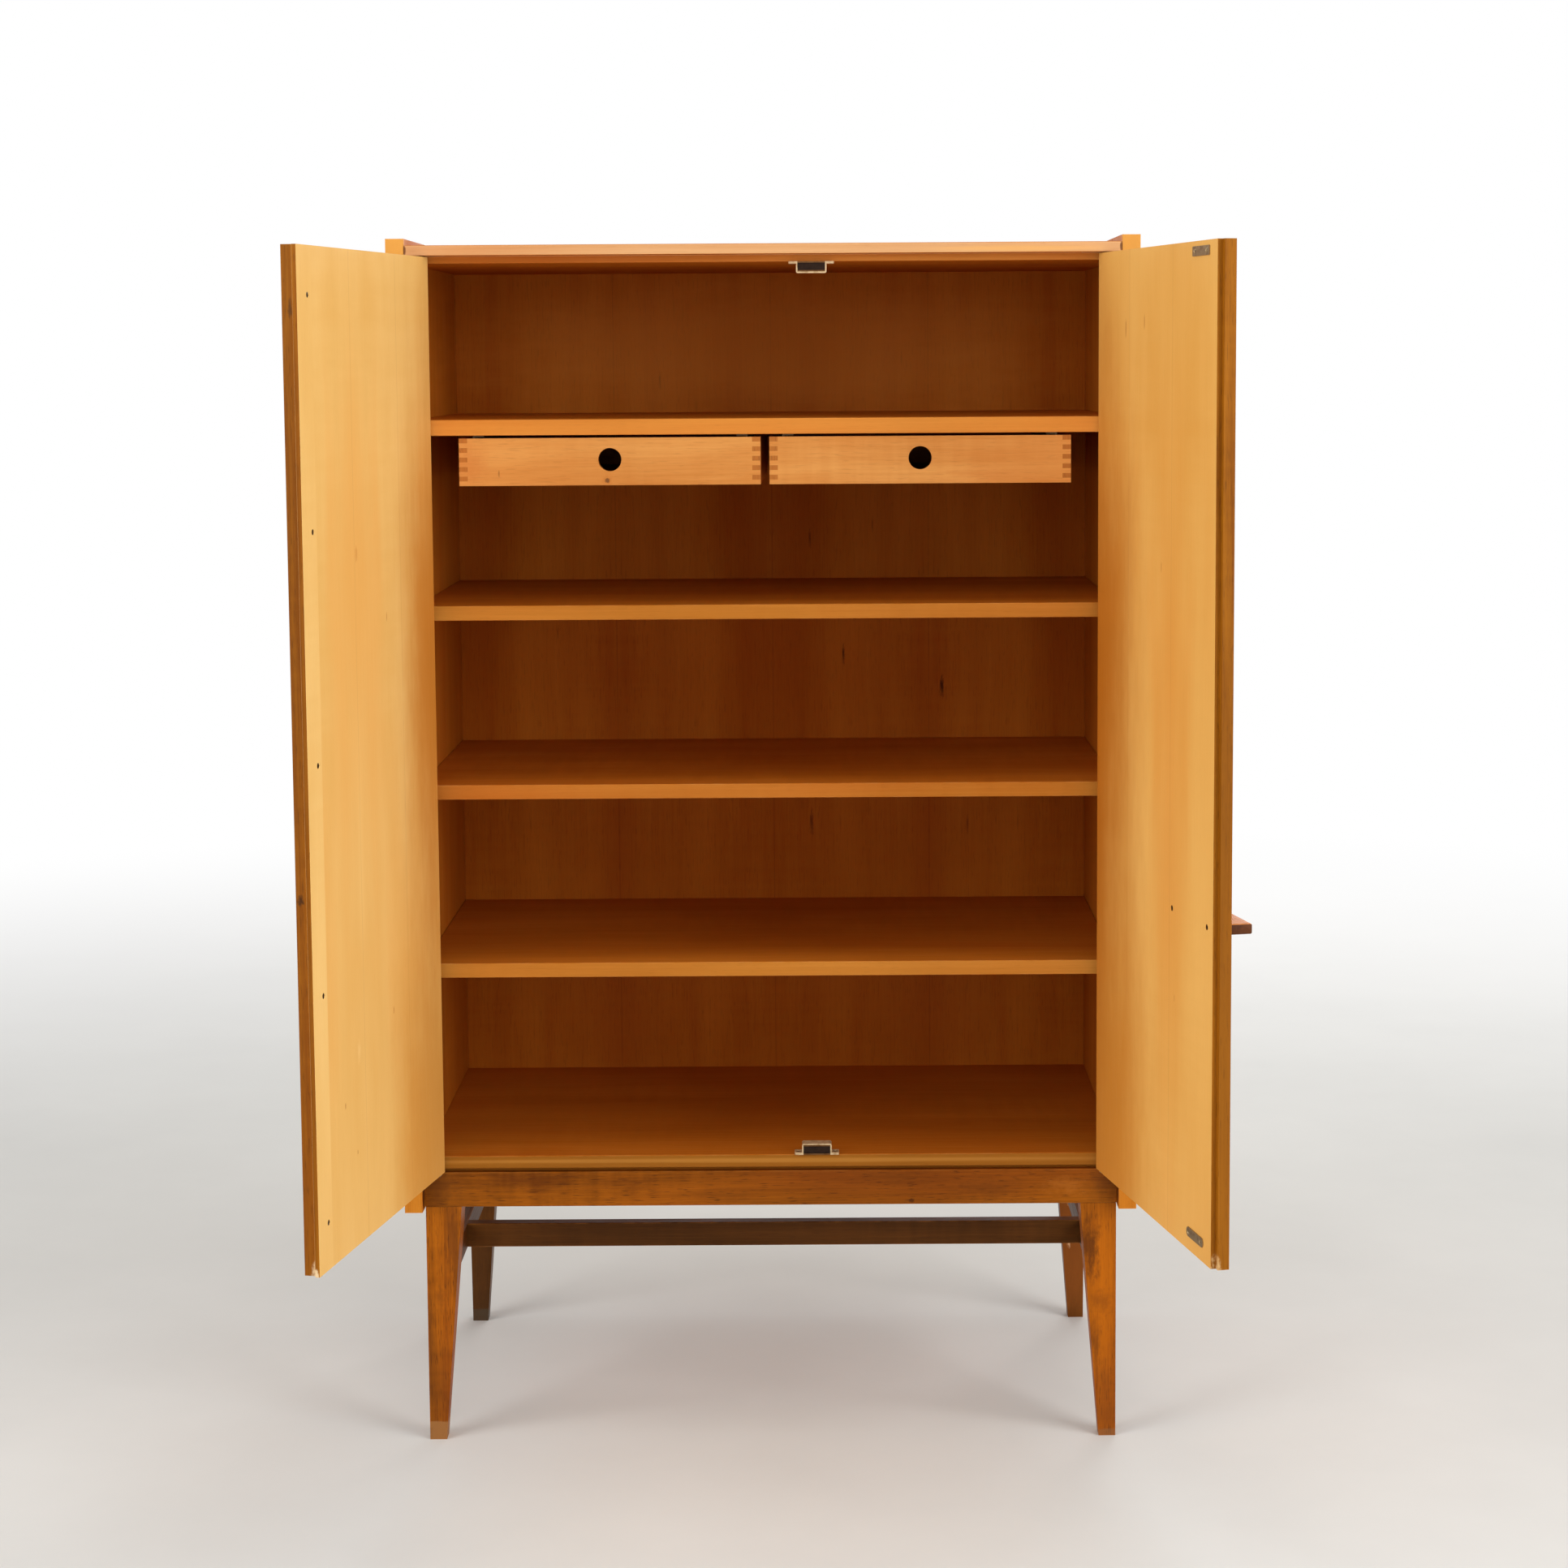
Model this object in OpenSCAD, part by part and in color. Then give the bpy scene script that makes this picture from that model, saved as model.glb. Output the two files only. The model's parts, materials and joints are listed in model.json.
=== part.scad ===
// Highboard on legs, with two pivoting doors, two hanging drawers and three loose shelves.
// Front faces -Y, +X is to the right, +Z is up. The origin is on the floor, under the cabinet's centre.
// All sizes are in millimetres.

/* [Carcass] */
// Width over both side panels
cabinet_w = 800; // [700:1:900]
// Depth of the side panels
cabinet_d = 445; // [420:1:500]
// Height of the side panels' upper ends above the floor
cabinet_h = 1320; // [1260:1:1400]
// Height of the base, from the floor to the bottom panel
base_h = 302.8; // [270:0.1:330]
// Thickness of the side panels
side_t = 19.5; // [17:0.5:24]
// How far the side panels stand above the top panel
side_rise = 7; // [3:0.5:12]
// Thickness of the top panel
top_t = 18.5; // [17:0.5:26]
// Thickness of the front lip of the top panel, above the doors
lip_t = 11; // [8:0.5:14]
// Thickness of the bottom panel
bottom_t = 18.2; // [14:0.1:22]
// Height of the shadow rebate along the bottom panel's lower front edge
shadow_h = 4; // [2:0.5:7]
// Depth of that rebate
shadow_d = 8; // [4:0.5:14]
// Thickness of the back panel
back_t = 6; // [4:0.5:8]
// Inset of the back panel from the side panels' rear edges
back_inset = 11.5; // [1:0.5:15]
// Depth of the rebate in a side panel that takes the back panel
back_rebate = 9; // [6:0.5:12]
// Setback of the top, bottom and fixed shelf edges behind the side panels
stop_setback = 22.5; // [22.5:0.5:30]
// Length of the tongues that house the top and bottom panels in the sides
tongue_l = 6; // [4:0.5:9]
// Thickness of those tongues
tongue_t = 8; // [6:0.5:10]
// Gap at each end of the top panel, beside the side panels
end_gap = 0.4; // [0.2:0.1:1]
// Radius that eases the long edges of boards
ease = 1; // [0.5:0.1:2]

/* [Shelves] */
// Clear height of the compartment above the fixed shelf
top_bay_h = 166.5; // [150:0.5:200]
// Thickness of the fixed shelf
fixed_shelf_t = 17; // [15:0.5:20]
// Depth of the grooves in the sides that house the fixed shelf
housing_d = 5; // [3:0.5:8]
// Thickness of the loose shelves
shelf_t = 16; // [14:0.5:20]
// Setback of the loose shelves behind the fixed shelf's edge
shelf_setback = 19; // [8:0.5:40]
// Gap between a loose shelf and the back panel
shelf_back_gap = 1; // [0.5:0.5:4]
// Gap between a loose shelf and each side panel
shelf_end_gap = 1; // [0.5:0.1:2]
// Place of the lower shelf's upper face, as a share of the clear height under the drawers
lower_shelf_at = 0.287; // [0.26:0.001:0.3]
// Place of the middle shelf's upper face, as a share of that height
middle_shelf_at = 0.5556; // [0.53:0.0001:0.58]
// Place of the upper shelf's upper face, as a share of that height
upper_shelf_at = 0.8222; // [0.8:0.0001:0.84]
// Diameter of the shelf pins
shelf_pin_d = 5; // [4:0.5:7]
// Length of a shelf pin inside the side panel
shelf_pin_in = 9; // [7:0.5:12]
// Length of a shelf pin under the shelf
shelf_pin_out = 9; // [7:0.5:14]
// Play between a loose shelf and its pins
shelf_rest = 0.2; // [0.1:0.05:0.4]
// Distance of the pins from a loose shelf's front and rear edges
shelf_pin_inset = 50; // [35:1:90]

/* [Doors] */
// Thickness of the doors
door_t = 17.3; // [16:0.1:18]
// Setback of the closed doors behind the side panels
door_setback = 0.9; // [0.3:0.1:1]
// Gap between a closed door and its side panel
door_side_gap = 1.8; // [1.5:0.1:2.5]
// Gap between the two closed doors
door_meeting_gap = 1.5; // [1:0.1:3]
// Gap between a door and the lip above it
door_top_gap = 1; // [1:0.1:3]
// Gap between a door and the hinge leaf below it
door_bottom_gap = 0.5; // [0.4:0.1:1.5]
// Distance of a pivot's axis from the side panel
pivot_inset = 13.3; // [13:0.1:14]
// Radius of a door's outer corner beside the pivot
hinge_outer_r = 5; // [5:0.5:7]
// Radius of a door's inner corner beside the pivot
hinge_inner_r = 5; // [5:0.5:6]
// Angle that the left door stands open at rest
left_open = 101.3; // [0:0.1:108]
// Angle that the right door stands open at rest
right_open = 102.2; // [0:0.1:108]
// Diameter of a pivot pin
pivot_d = 5; // [4:0.5:6]
// Height of a pivot pin above its leaf
pivot_l = 12; // [8:1:18]
// Running clearance round a pivot pin
pivot_fit = 0.08; // [0.02:0.01:0.1]
// Thickness of a hinge leaf
leaf_t = 2; // [1.5:0.25:3]
// Width of a hinge leaf
leaf_w = 14; // [11:0.5:16]
// Length of a hinge leaf from its pin
leaf_l = 29; // [24:1:36]
// Width of the closing strip on the left door
strip_w = 37; // [34:1:56]
// Thickness of the closing strip
strip_t = 5; // [4:0.5:6]
// How far the closing strip laps behind the right door
strip_lap = 4; // [2.5:0.5:6]
// Play between the closing strip and the closed right door
strip_play = 0.3; // [0.2:0.1:0.6]
// Distance of the strip's screws from its projecting edge
strip_screw_in = 27; // [12:1:32]
// Width of the rebate in the right door that takes the closing strip
rebate_w = 5.5; // [4:0.5:9]
// Number of screws in the closing strip
strip_screws_n = 5; // [3:1:8]
// Distance of the outer strip screws from the door's ends
strip_screw_end = 47; // [30:1:80]

/* [Handle] */
// Length of the handle
handle_l = 140; // [120:1:170]
// How far the handle stands out from the door
handle_out = 22.5; // [18:0.5:30]
// Height of the handle's section
handle_h = 10; // [9:0.5:14]
// Height of the handle's centre above the floor
handle_z = 640; // [500:1:900]
// Distance of the handle's end from the door's free edge
handle_end = 4.5; // [3:0.5:20]
// Spacing of the two handle screws
handle_screw_pitch = 103; // [80:1:110]
// Radius of the finger groove under the handle
handle_groove_r = 5; // [3:0.5:6]
// Distance between the door and the finger groove
handle_groove_in = 2; // [1:0.25:4]

/* [Catches] */
// Distance of the catches from the cabinet's centre, towards the right door
catch_x = 51; // [40:1:120]
// Width of a catch's body
catch_w = 32.5; // [26:0.5:40]
// Height of a catch's body
catch_h = 12.5; // [10:0.5:14]
// Depth of a catch
catch_d = 14; // [11:0.5:18]
// Wall thickness of a catch bracket
catch_wall = 1.5; // [1:0.25:2]
// Length of a catch's fixing ear
catch_ear = 8.2; // [7:0.1:12]
// Thickness of a catch's fixing ear
catch_ear_t = 2.5; // [1.5:0.25:4]
// Radius of a catch's outer corners
catch_r = 2; // [1:0.25:3]
// Thickness of the pole plates beside the magnet
pole_t = 1.5; // [1:0.25:2]
// How far the pole plates stand out in front of the magnet
pole_out = 0.8; // [0.5:0.1:1.5]
// Gap between the pole plates and the strike plate of the closed door
catch_gap = 0.4; // [0.3:0.1:1]
// Length of a strike plate
strike_l = 48; // [36:1:60]
// Width of a strike plate
strike_w = 9.5; // [9:0.5:14]
// Thickness of a strike plate
strike_t = 1; // [0.8:0.1:1.5]
// How far the strike plates lie beyond the catches' centres, towards the door's ends
strike_shift = 3; // [0:0.5:4]
// Corner radius of the upper strike plate
strike_r = 1.5; // [0.5:0.25:3]
// Spacing of a strike plate's two screws
strike_screw_pitch = 34; // [22:1:36]

/* [Drawers] */
// Room between a drawer and the side panel beside it
drawer_side_room = 51.8; // [49:0.1:60]
// Height of a drawer
drawer_h = 51; // [46:0.5:60]
// Room between a pushed-in drawer and the back panel
drawer_rear_room = 18.5; // [6:0.5:40]
// Gap between the two drawers
drawer_gap = 9.4; // [6:0.2:14]
// Gap between a drawer and the fixed shelf above it
drawer_top_gap = 3; // [2.5:0.1:5]
// Setback of a pushed-in drawer behind the fixed shelf's edge
drawer_setback = 1.5; // [0.5:0.5:5]
// Thickness of a drawer's sides
drawer_side_t = 9; // [8:0.5:12]
// Thickness of a drawer's front
drawer_front_t = 10; // [9:0.5:15]
// Thickness of a drawer's back
drawer_back_t = 9; // [8:0.5:12]
// Thickness of a drawer's bottom
drawer_bottom_t = 4; // [3:0.5:5]
// Depth of the grooves that hold a drawer's bottom
drawer_bottom_groove = 4; // [3:0.5:5]
// Height of a drawer's bottom above its lower edge
drawer_bottom_rise = 5.6; // [4:0.1:8]
// Number of fingers and gaps in a drawer's corner joint
finger_n = 10; // [6:2:14]
// Number of those fingers and gaps on the lower back of a drawer
back_finger_n = 7; // [3:1:7]
// Diameter of the finger hole
hole_d = 25; // [20:0.5:30]
// Distance of the finger hole's centre below the drawer's upper edge
hole_drop = 23.5; // [20:0.5:27]

/* [Drawer rails] */
// Thickness of the rail metal
rail_t = 2; // [1.8:0.1:2.5]
// Depth of a rail below the fixed shelf
rail_h = 10; // [8:0.1:11]
// Width of a rail's upper flange
rail_flange = 12; // [9:0.5:16]
// Width of a rail's hook in the drawer side
rail_hook = 10.5; // [9:0.1:12]
// Gap between a rail's upright and the drawer side
rail_gap = 5; // [4:0.1:7]
// Setback of a rail behind the inner face of the drawer's front
rail_setback = 2; // [1:0.5:6]
// Play above and below the hook in its groove
rail_play = 0.3; // [0.2:0.1:0.5]
// Depth of the groove in a drawer side
rail_groove_d = 4; // [3.5:0.1:5]

/* [Base] */
// Setback of the base behind the side panels
base_setback = 22.5; // [19:0.5:26]
// Gap between the base and each side panel
base_gap = 0.4; // [0.2:0.1:1.5]
// Height of the aprons and side rails
apron_h = 38.8; // [30:0.1:50]
// Thickness of the aprons and side rails
apron_t = 22; // [18:0.5:28]
// Width of a leg at its upper end
leg_top_w = 39.6; // [34:0.1:46]
// Width of a leg at the floor
leg_foot_w = 18.5; // [16:0.5:30]
// Diameter of the round tenon on a leg
leg_tenon_d = 12; // [8:0.5:14]
// Length of that tenon
leg_tenon_l = 22; // [15:1:30]
// Height of the stretchers' upper edge above the floor
stretcher_z = 201.5; // [140:0.5:215]
// Height of the stretchers' section
stretcher_h = 27.5; // [22:0.5:40]
// Thickness of the stretchers
stretcher_t = 16; // [14:0.5:24]
// Distance of the side stretchers' outer faces from the legs' outer faces
stretcher_inset = 11; // [4:0.5:14]
// Setback of the cross stretcher behind the base's front
cross_setback = 145; // [80:1:230]
// Length of the cross stretcher's tenons
stretcher_tenon_l = 10; // [6:0.5:14]
// Thickness of those tenons
stretcher_tenon_t = 8; // [6:0.5:12]

/* [Screws] */
// Diameter of the small screws' heads
screw_head_d = 6; // [4.5:0.5:7]
// Height of the small screws' heads
screw_head_h = 1.6; // [1:0.1:2.2]
// Diameter of the small screws' shanks
screw_shank_d = 3; // [2:0.25:3.5]
// Length of the small screws under the head
screw_l = 12; // [8:1:14]
// Width of the slot in a screw's head
screw_slot_w = 0.8; // [0.6:0.1:1.2]
// Depth of that slot
screw_slot_d = 0.5; // [0.3:0.1:0.8]
// Number of screws in each drawer rail
rail_screws_n = 3; // [2:1:5]
// Number of screws along each upright edge of the back panel, below the fixed shelf
back_screws_low_n = 6; // [3:1:8]
// Number of those screws above the fixed shelf
back_screws_high_n = 2; // [2:1:4]
// Distance of a back panel screw from the panel's ends and from the fixed shelf
back_screw_end = 18; // [12:1:40]

/* [Hidden] */
$fn = 32;
// A small overlap that makes cuts pass cleanly through a face
cut = 1;

inner_w = cabinet_w - 2 * side_t;
front_y = -cabinet_d / 2;
rear_y = cabinet_d / 2;
back_y = rear_y - back_inset - back_t;
base_top_z = base_h;
side_bottom_z = base_h - apron_h;
bay_floor_z = base_h + bottom_t;
top_z = cabinet_h - side_rise;
top_under_z = top_z - top_t;
lip_under_z = top_z - lip_t;
fixed_z = top_under_z - top_bay_h - fixed_shelf_t;
panel_front_y = front_y + stop_setback;
shelf_back_y = back_y - shelf_back_gap;
shelf_d = shelf_back_y - panel_front_y - shelf_setback;
clear_h = fixed_z - drawer_top_gap - drawer_h - bay_floor_z;
lower_shelf_h = clear_h * lower_shelf_at;
middle_shelf_h = clear_h * middle_shelf_at;
upper_shelf_h = clear_h * upper_shelf_at;

door_w = (inner_w - 2 * door_side_gap - door_meeting_gap) / 2;
door_z0 = base_top_z + leaf_t + door_bottom_gap;
door_z1 = lip_under_z - door_top_gap;
door_y = front_y + door_setback;
pivot_x = inner_w / 2 - pivot_inset;
pivot_y = door_y + door_t / 2;
pivot_u = pivot_inset - door_side_gap;
door_inner_y = door_y + door_t;
strip_x = door_w + strip_lap - strip_w;

handle_u1 = door_w - handle_end;
handle_u0 = handle_u1 - handle_l;
handle_mid = (handle_u0 + handle_u1) / 2;

catch_front_y = door_inner_y + strike_t + catch_gap;
catch_cavity_w = catch_w - 2 * catch_wall;
magnet_h = catch_h - catch_wall - 2 * pole_t;
strike_u = inner_w / 2 - door_side_gap - catch_x;
catch_top_z = top_under_z;
catch_bottom_z = bay_floor_z;

drawer_z = fixed_z - drawer_top_gap - drawer_h;
drawer_y = panel_front_y + drawer_setback;
drawer_w = (inner_w - drawer_gap) / 2 - drawer_side_room;
drawer_d = back_y - drawer_rear_room - drawer_y;
finger_h = drawer_h / finger_n;
rail_y0 = drawer_y + drawer_front_t + rail_setback;
rail_y1 = drawer_y + drawer_d;
hook_z0 = fixed_z - rail_h;

base_w = inner_w - 2 * base_gap;
base_front_y = front_y + base_setback;
base_d = rear_y - base_front_y;
leg_h = base_h - apron_h;
leg_slope = (leg_top_w - leg_foot_w) / leg_h;
stretcher_x = base_w / 2 - stretcher_inset - stretcher_t;

function leg_w(z) = leg_foot_w + leg_slope * z;

// Rectangle from the origin with a radius for each corner, counted anticlockwise from the origin
module plate(w, h, r) {
    polygon([[r[0], 0], [w - r[1], 0], [w, r[1]], [w, h - r[2]],
        [w - r[2], h], [r[3], h], [0, h - r[3]], [0, r[0]]]);
    if (r[0] > 0) translate([r[0], r[0]]) circle(r[0]);
    if (r[1] > 0) translate([w - r[1], r[1]]) circle(r[1]);
    if (r[2] > 0) translate([w - r[2], h - r[2]]) circle(r[2]);
    if (r[3] > 0) translate([r[3], h - r[3]]) circle(r[3]);
}

// Extrudes a profile drawn in Y and Z along X
module along_x(l) {
    rotate([90, 0, 90]) linear_extrude(l) children();
}

// Extrudes a profile drawn in X and Z along Y
module along_y(l) {
    translate([0, l, 0]) rotate([90, 0, 0]) linear_extrude(l) children();
}

// Board from a lower corner, its front edges eased along X
module shelf_board(w, d, t) {
    along_x(w) plate(d, t, [ease, 0, 0, ease]);
}

module mirrored(side) {
    if (side > 0) mirror([1, 0, 0]) children();
    else children();
}

// Left side panel
module side_panel_shape() {
    difference() {
        translate([-cabinet_w / 2, front_y, side_bottom_z])
            linear_extrude(cabinet_h - side_bottom_z)
                plate(side_t, cabinet_d, [ease, ease, 0, 0]);
        translate([-inner_w / 2 - back_rebate, back_y, side_bottom_z + apron_h])
            cube([back_rebate + cut, cabinet_d, top_z - base_top_z]);
        panel_groove(top_under_z + (top_t - tongue_t) / 2 - (top_t - lip_t) / 4);
        panel_groove(base_top_z + (bottom_t - tongue_t) / 2);
        translate([-inner_w / 2 - housing_d, panel_front_y, fixed_z])
            cube([housing_d + cut, back_y - panel_front_y, fixed_shelf_t]);
        for (h = [lower_shelf_h, middle_shelf_h, upper_shelf_h])
            for (y = shelf_pin_ys())
                translate([-inner_w / 2 - shelf_pin_in, y, shelf_pin_z(h)])
                    rotate([0, 90, 0]) cylinder(d = shelf_pin_d, h = shelf_pin_in + cut);
        at_back_screws(-1) screw_recess(screw_l);
    }
}

// Groove in a side panel for a tongue
module panel_groove(z) {
    translate([-inner_w / 2 - tongue_l, panel_front_y + stop_setback, z])
        cube([tongue_l + cut, back_y - panel_front_y - stop_setback, tongue_t]);
}

// Pair of tongues that reach into both side panels
module tongues(z) {
    for (x = [-inner_w / 2 - tongue_l, inner_w / 2 - cut])
        translate([x, panel_front_y + stop_setback, z])
            cube([tongue_l + cut, back_y - panel_front_y - stop_setback, tongue_t]);
}

function shelf_pin_z(h) = bay_floor_z + h - shelf_t - shelf_rest - shelf_pin_d / 2;

function shelf_pin_ys() = [shelf_back_y - shelf_d + shelf_pin_inset, shelf_back_y - shelf_pin_inset];

module side_panel_left() {
    color("#c98a3a") side_panel_shape();
}

module side_panel_right() {
    color("#c98a3a") mirror([1, 0, 0]) side_panel_shape();
}

module top_panel() {
    w = inner_w - 2 * end_gap;
    color("#c78743") difference() {
        union() {
            translate([-w / 2, front_y, top_under_z])
                along_x(w) union() {
                    translate([stop_setback, 0]) square([back_y - panel_front_y, top_t]);
                    translate([0, top_t - lip_t])
                        plate(back_y - front_y, lip_t, [ease, 0, 0, 2 * ease]);
                }
            tongues(top_under_z + (top_t - tongue_t) / 2 - (top_t - lip_t) / 4);
        }
        for (s = [-1, 1])
            mirrored(s) leaf_recess_top();
        at_catch_screws(true) screw_recess(screw_l);
    }
}

module bottom_panel() {
    color("#c98a45") difference() {
        union() {
            translate([-inner_w / 2 + end_gap, panel_front_y, base_top_z])
                along_x(inner_w - 2 * end_gap) union() {
                    translate([shadow_d, 0]) square([back_y - panel_front_y - shadow_d, bottom_t]);
                    translate([0, shadow_h])
                        plate(back_y - panel_front_y, bottom_t - shadow_h, [2 * ease, 0, 0, 2 * ease]);
                }
            tongues(base_top_z + (bottom_t - tongue_t) / 2);
        }
        for (s = [-1, 1])
            mirrored(s) leaf_recess_bottom();
        at_catch_screws(false) screw_recess(screw_l);
    }
}

module back_panel() {
    w = inner_w + 2 * back_rebate - 2 * end_gap;
    color("#b97f45") difference() {
        translate([-w / 2, back_y, base_top_z + end_gap])
            cube([w, back_t, top_z - base_top_z - 2 * end_gap]);
        for (s = [-1, 1])
            at_back_screws(s) screw_recess(screw_l);
    }
}

// Screw with a flat head: the head's face lies on the XY plane and the shank points down
module small_screw(l) {
    difference() {
        union() {
            translate([0, 0, -screw_head_h]) cylinder(d1 = screw_shank_d, d2 = screw_head_d, h = screw_head_h);
            translate([0, 0, -screw_head_h - l]) cylinder(d = screw_shank_d, h = l);
        }
        translate([-screw_head_d / 2, -screw_slot_w / 2, -screw_slot_d])
            cube([screw_head_d, screw_slot_w, screw_slot_d + cut]);
    }
}

// Recess that a small screw fills, open above its head
module screw_recess(l) {
    rotate_extrude()
        polygon([[0, -screw_head_h - l], [screw_shank_d / 2, -screw_head_h - l],
            [screw_shank_d / 2, -screw_head_h], [screw_head_d / 2, 0], [screw_head_d / 2, cut], [0, cut]]);
}

module fixed_shelf() {
    w = inner_w + 2 * housing_d;
    color("#d09350") difference() {
        translate([-w / 2, panel_front_y, fixed_z])
            shelf_board(w, back_y - panel_front_y, fixed_shelf_t);
        at_rail_screws() screw_recess(screw_l);
    }
}

module loose_shelf(h) {
    w = inner_w - 2 * shelf_end_gap;
    color("#c98c48")
        translate([-w / 2, shelf_back_y - shelf_d, bay_floor_z + h - shelf_t])
            shelf_board(w, shelf_d, shelf_t);
}

module shelf_upper() loose_shelf(upper_shelf_h);

module shelf_middle() loose_shelf(middle_shelf_h);

module shelf_lower() loose_shelf(lower_shelf_h);

// Four pins under one loose shelf
module shelf_pins(h) {
    color("#b9b2a0")
        for (s = [-1, 1])
            mirrored(s)
                for (y = shelf_pin_ys())
                    translate([-inner_w / 2 - shelf_pin_in, y, shelf_pin_z(h)])
                        rotate([0, 90, 0]) cylinder(d = shelf_pin_d, h = shelf_pin_in + shelf_pin_out);
}

module shelf_pins_upper() shelf_pins(upper_shelf_h);

module shelf_pins_middle() shelf_pins(middle_shelf_h);

module shelf_pins_lower() shelf_pins(lower_shelf_h);

// Bracket of a catch, standing on its ears with its mouth towards the doors
module catch_bracket() {
    difference() {
        union() {
            translate([-catch_w / 2, 0, 0])
                along_y(catch_d) plate(catch_w, catch_h, [0, 0, catch_r, catch_r]);
            translate([-catch_w / 2 - catch_ear, 0, 0])
                linear_extrude(catch_ear_t)
                    plate(catch_w + 2 * catch_ear, catch_d, [catch_r, catch_r, catch_r, catch_r]);
        }
        translate([-catch_cavity_w / 2, -cut, -cut])
            cube([catch_cavity_w, catch_d - catch_wall + cut, catch_h - catch_wall + cut]);
        for (s = [-1, 1])
            translate([s * (catch_w + catch_ear) / 2, catch_d / 2, catch_ear_t]) screw_recess(screw_l);
    }
}

// Puts a screw through both ears of a catch
module at_catch_screws(top) {
    at_catch(top)
        for (s = [-1, 1])
            translate([s * (catch_w + catch_ear) / 2, catch_d / 2, catch_ear_t]) children();
}

// Places a catch part under the top panel or on the bottom panel
module at_catch(top) {
    translate([catch_x, catch_front_y, top ? catch_top_z : catch_bottom_z])
        mirror([0, 0, top ? 1 : 0]) children();
}

module catch_bracket_top() {
    color("#b8b8b8") at_catch(true) catch_bracket();
}

module catch_bracket_bottom() {
    color("#b8b8b8") at_catch(false) catch_bracket();
}

module catch_magnet() {
    translate([-catch_cavity_w / 2, pole_out, pole_t])
        cube([catch_cavity_w, catch_d - catch_wall - pole_out, magnet_h]);
}

module catch_magnet_top() {
    color("#3a3836") at_catch(true) catch_magnet();
}

module catch_magnet_bottom() {
    color("#3a3836") at_catch(false) catch_magnet();
}

module catch_pole_plates() {
    color("#7c7a76")
        for (top = [true, false])
            at_catch(top)
                for (z = [0, pole_t + magnet_h])
                    translate([-catch_cavity_w / 2, 0, z])
                        cube([catch_cavity_w, catch_d - catch_wall, pole_t]);
}

module catch_screws() {
    color("#c9c4b4")
        for (top = [true, false])
            at_catch_screws(top) small_screw(screw_l);
}

// Heights of n back panel screws between two heights
function spread(z0, z1, n) = [for (i = [0 : n - 1])
    z0 + back_screw_end + i * (z1 - z0 - 2 * back_screw_end) / (n - 1)];

// Puts a screw at each fixing place along one edge of the back panel
module at_back_screws(side) {
    for (z = concat(spread(base_top_z, fixed_z, back_screws_low_n),
        spread(fixed_z + fixed_shelf_t, top_z, back_screws_high_n)))
        translate([side * (inner_w / 2 + back_rebate / 2), back_y + back_t, z])
            rotate([-90, 0, 0]) children();
}

module back_panel_screws() {
    color("#b5a98a")
        for (s = [-1, 1])
            at_back_screws(s) small_screw(screw_l);
}

// Bent rail under the fixed shelf: flange, upright and hook, with the drawer side at negative X
module rail_shape() {
    x0 = rail_gap;
    translate([0, rail_y0, 0])
        along_y(rail_y1 - rail_y0) union() {
            translate([x0, fixed_z - rail_t]) square([rail_flange, rail_t]);
            translate([x0, hook_z0]) plate(rail_t, rail_h, [rail_t / 2, 0, 0, 0]);
            translate([x0 + rail_t - rail_hook, hook_z0]) plate(rail_hook, rail_t, [rail_t / 3, 0, 0, rail_t / 3]);
        }
}

// Moves to the inner face of a drawer side, d = -1 for the left side and 1 for the right
module at_rail(drawer, d) {
    centre = drawer * (drawer_w + drawer_gap) / 2;
    translate([centre + d * (drawer_w / 2 - drawer_side_t), 0, 0])
        mirrored(d) children();
}

// Puts a screw, pointing up, at each fixing place of one rail
module at_one_rails_screws() {
    l = rail_y1 - rail_y0;
    for (i = [0 : rail_screws_n - 1])
        translate([rail_gap + rail_t + (rail_flange - rail_t) / 2,
            rail_y0 + l * (0.1 + 0.8 * i / (rail_screws_n - 1)), fixed_z - rail_t])
            rotate([180, 0, 0]) children();
}

module at_rail_screws() {
    for (drawer = [-1, 1])
        for (d = [-1, 1])
            at_rail(drawer, d) at_one_rails_screws() children();
}

module rail_at(drawer, d) {
    color("#9a9a98") at_rail(drawer, d) difference() {
        rail_shape();
        at_one_rails_screws() screw_recess(screw_l);
    }
}

module rail_screws() {
    color("#b9b4a8") at_rail_screws() small_screw(screw_l);
}

module rail_left_outer() rail_at(-1, -1);

module rail_left_inner() rail_at(-1, 1);

module rail_right_inner() rail_at(1, -1);

module rail_right_outer() rail_at(1, 1);

// Outline of a hinge leaf from its pin, lengthwise along X
module leaf_outline(clear) {
    circle(d = leaf_w + 2 * clear);
    translate([0, -leaf_w / 2 - clear]) square([leaf_l + clear, leaf_w + 2 * clear]);
}

// Lower leaf for the left door, lying on the front apron and let into the bottom panel
module leaf_bottom() {
    translate([-pivot_x, pivot_y, base_top_z]) {
        rotate([0, 0, 90]) linear_extrude(leaf_t) leaf_outline(0);
        cylinder(d = pivot_d, h = leaf_t + pivot_l);
    }
}

module leaf_recess_bottom() {
    translate([-pivot_x, pivot_y, base_top_z - cut])
        rotate([0, 0, 90]) linear_extrude(leaf_t + cut) leaf_outline(0);
}

// Upper leaf for the left door, let into the lip and running inwards along it
module leaf_top() {
    translate([-pivot_x, pivot_y, lip_under_z]) {
        linear_extrude(leaf_t) leaf_outline(0);
        translate([0, 0, -pivot_l]) cylinder(d = pivot_d, h = leaf_t + pivot_l);
    }
}

module leaf_recess_top() {
    translate([-pivot_x, pivot_y, lip_under_z - cut])
        linear_extrude(leaf_t + cut) leaf_outline(0);
}

module hinge_left_top() {
    color("#a8a49a") leaf_top();
}

module hinge_left_bottom() {
    color("#a8a49a") leaf_bottom();
}

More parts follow.
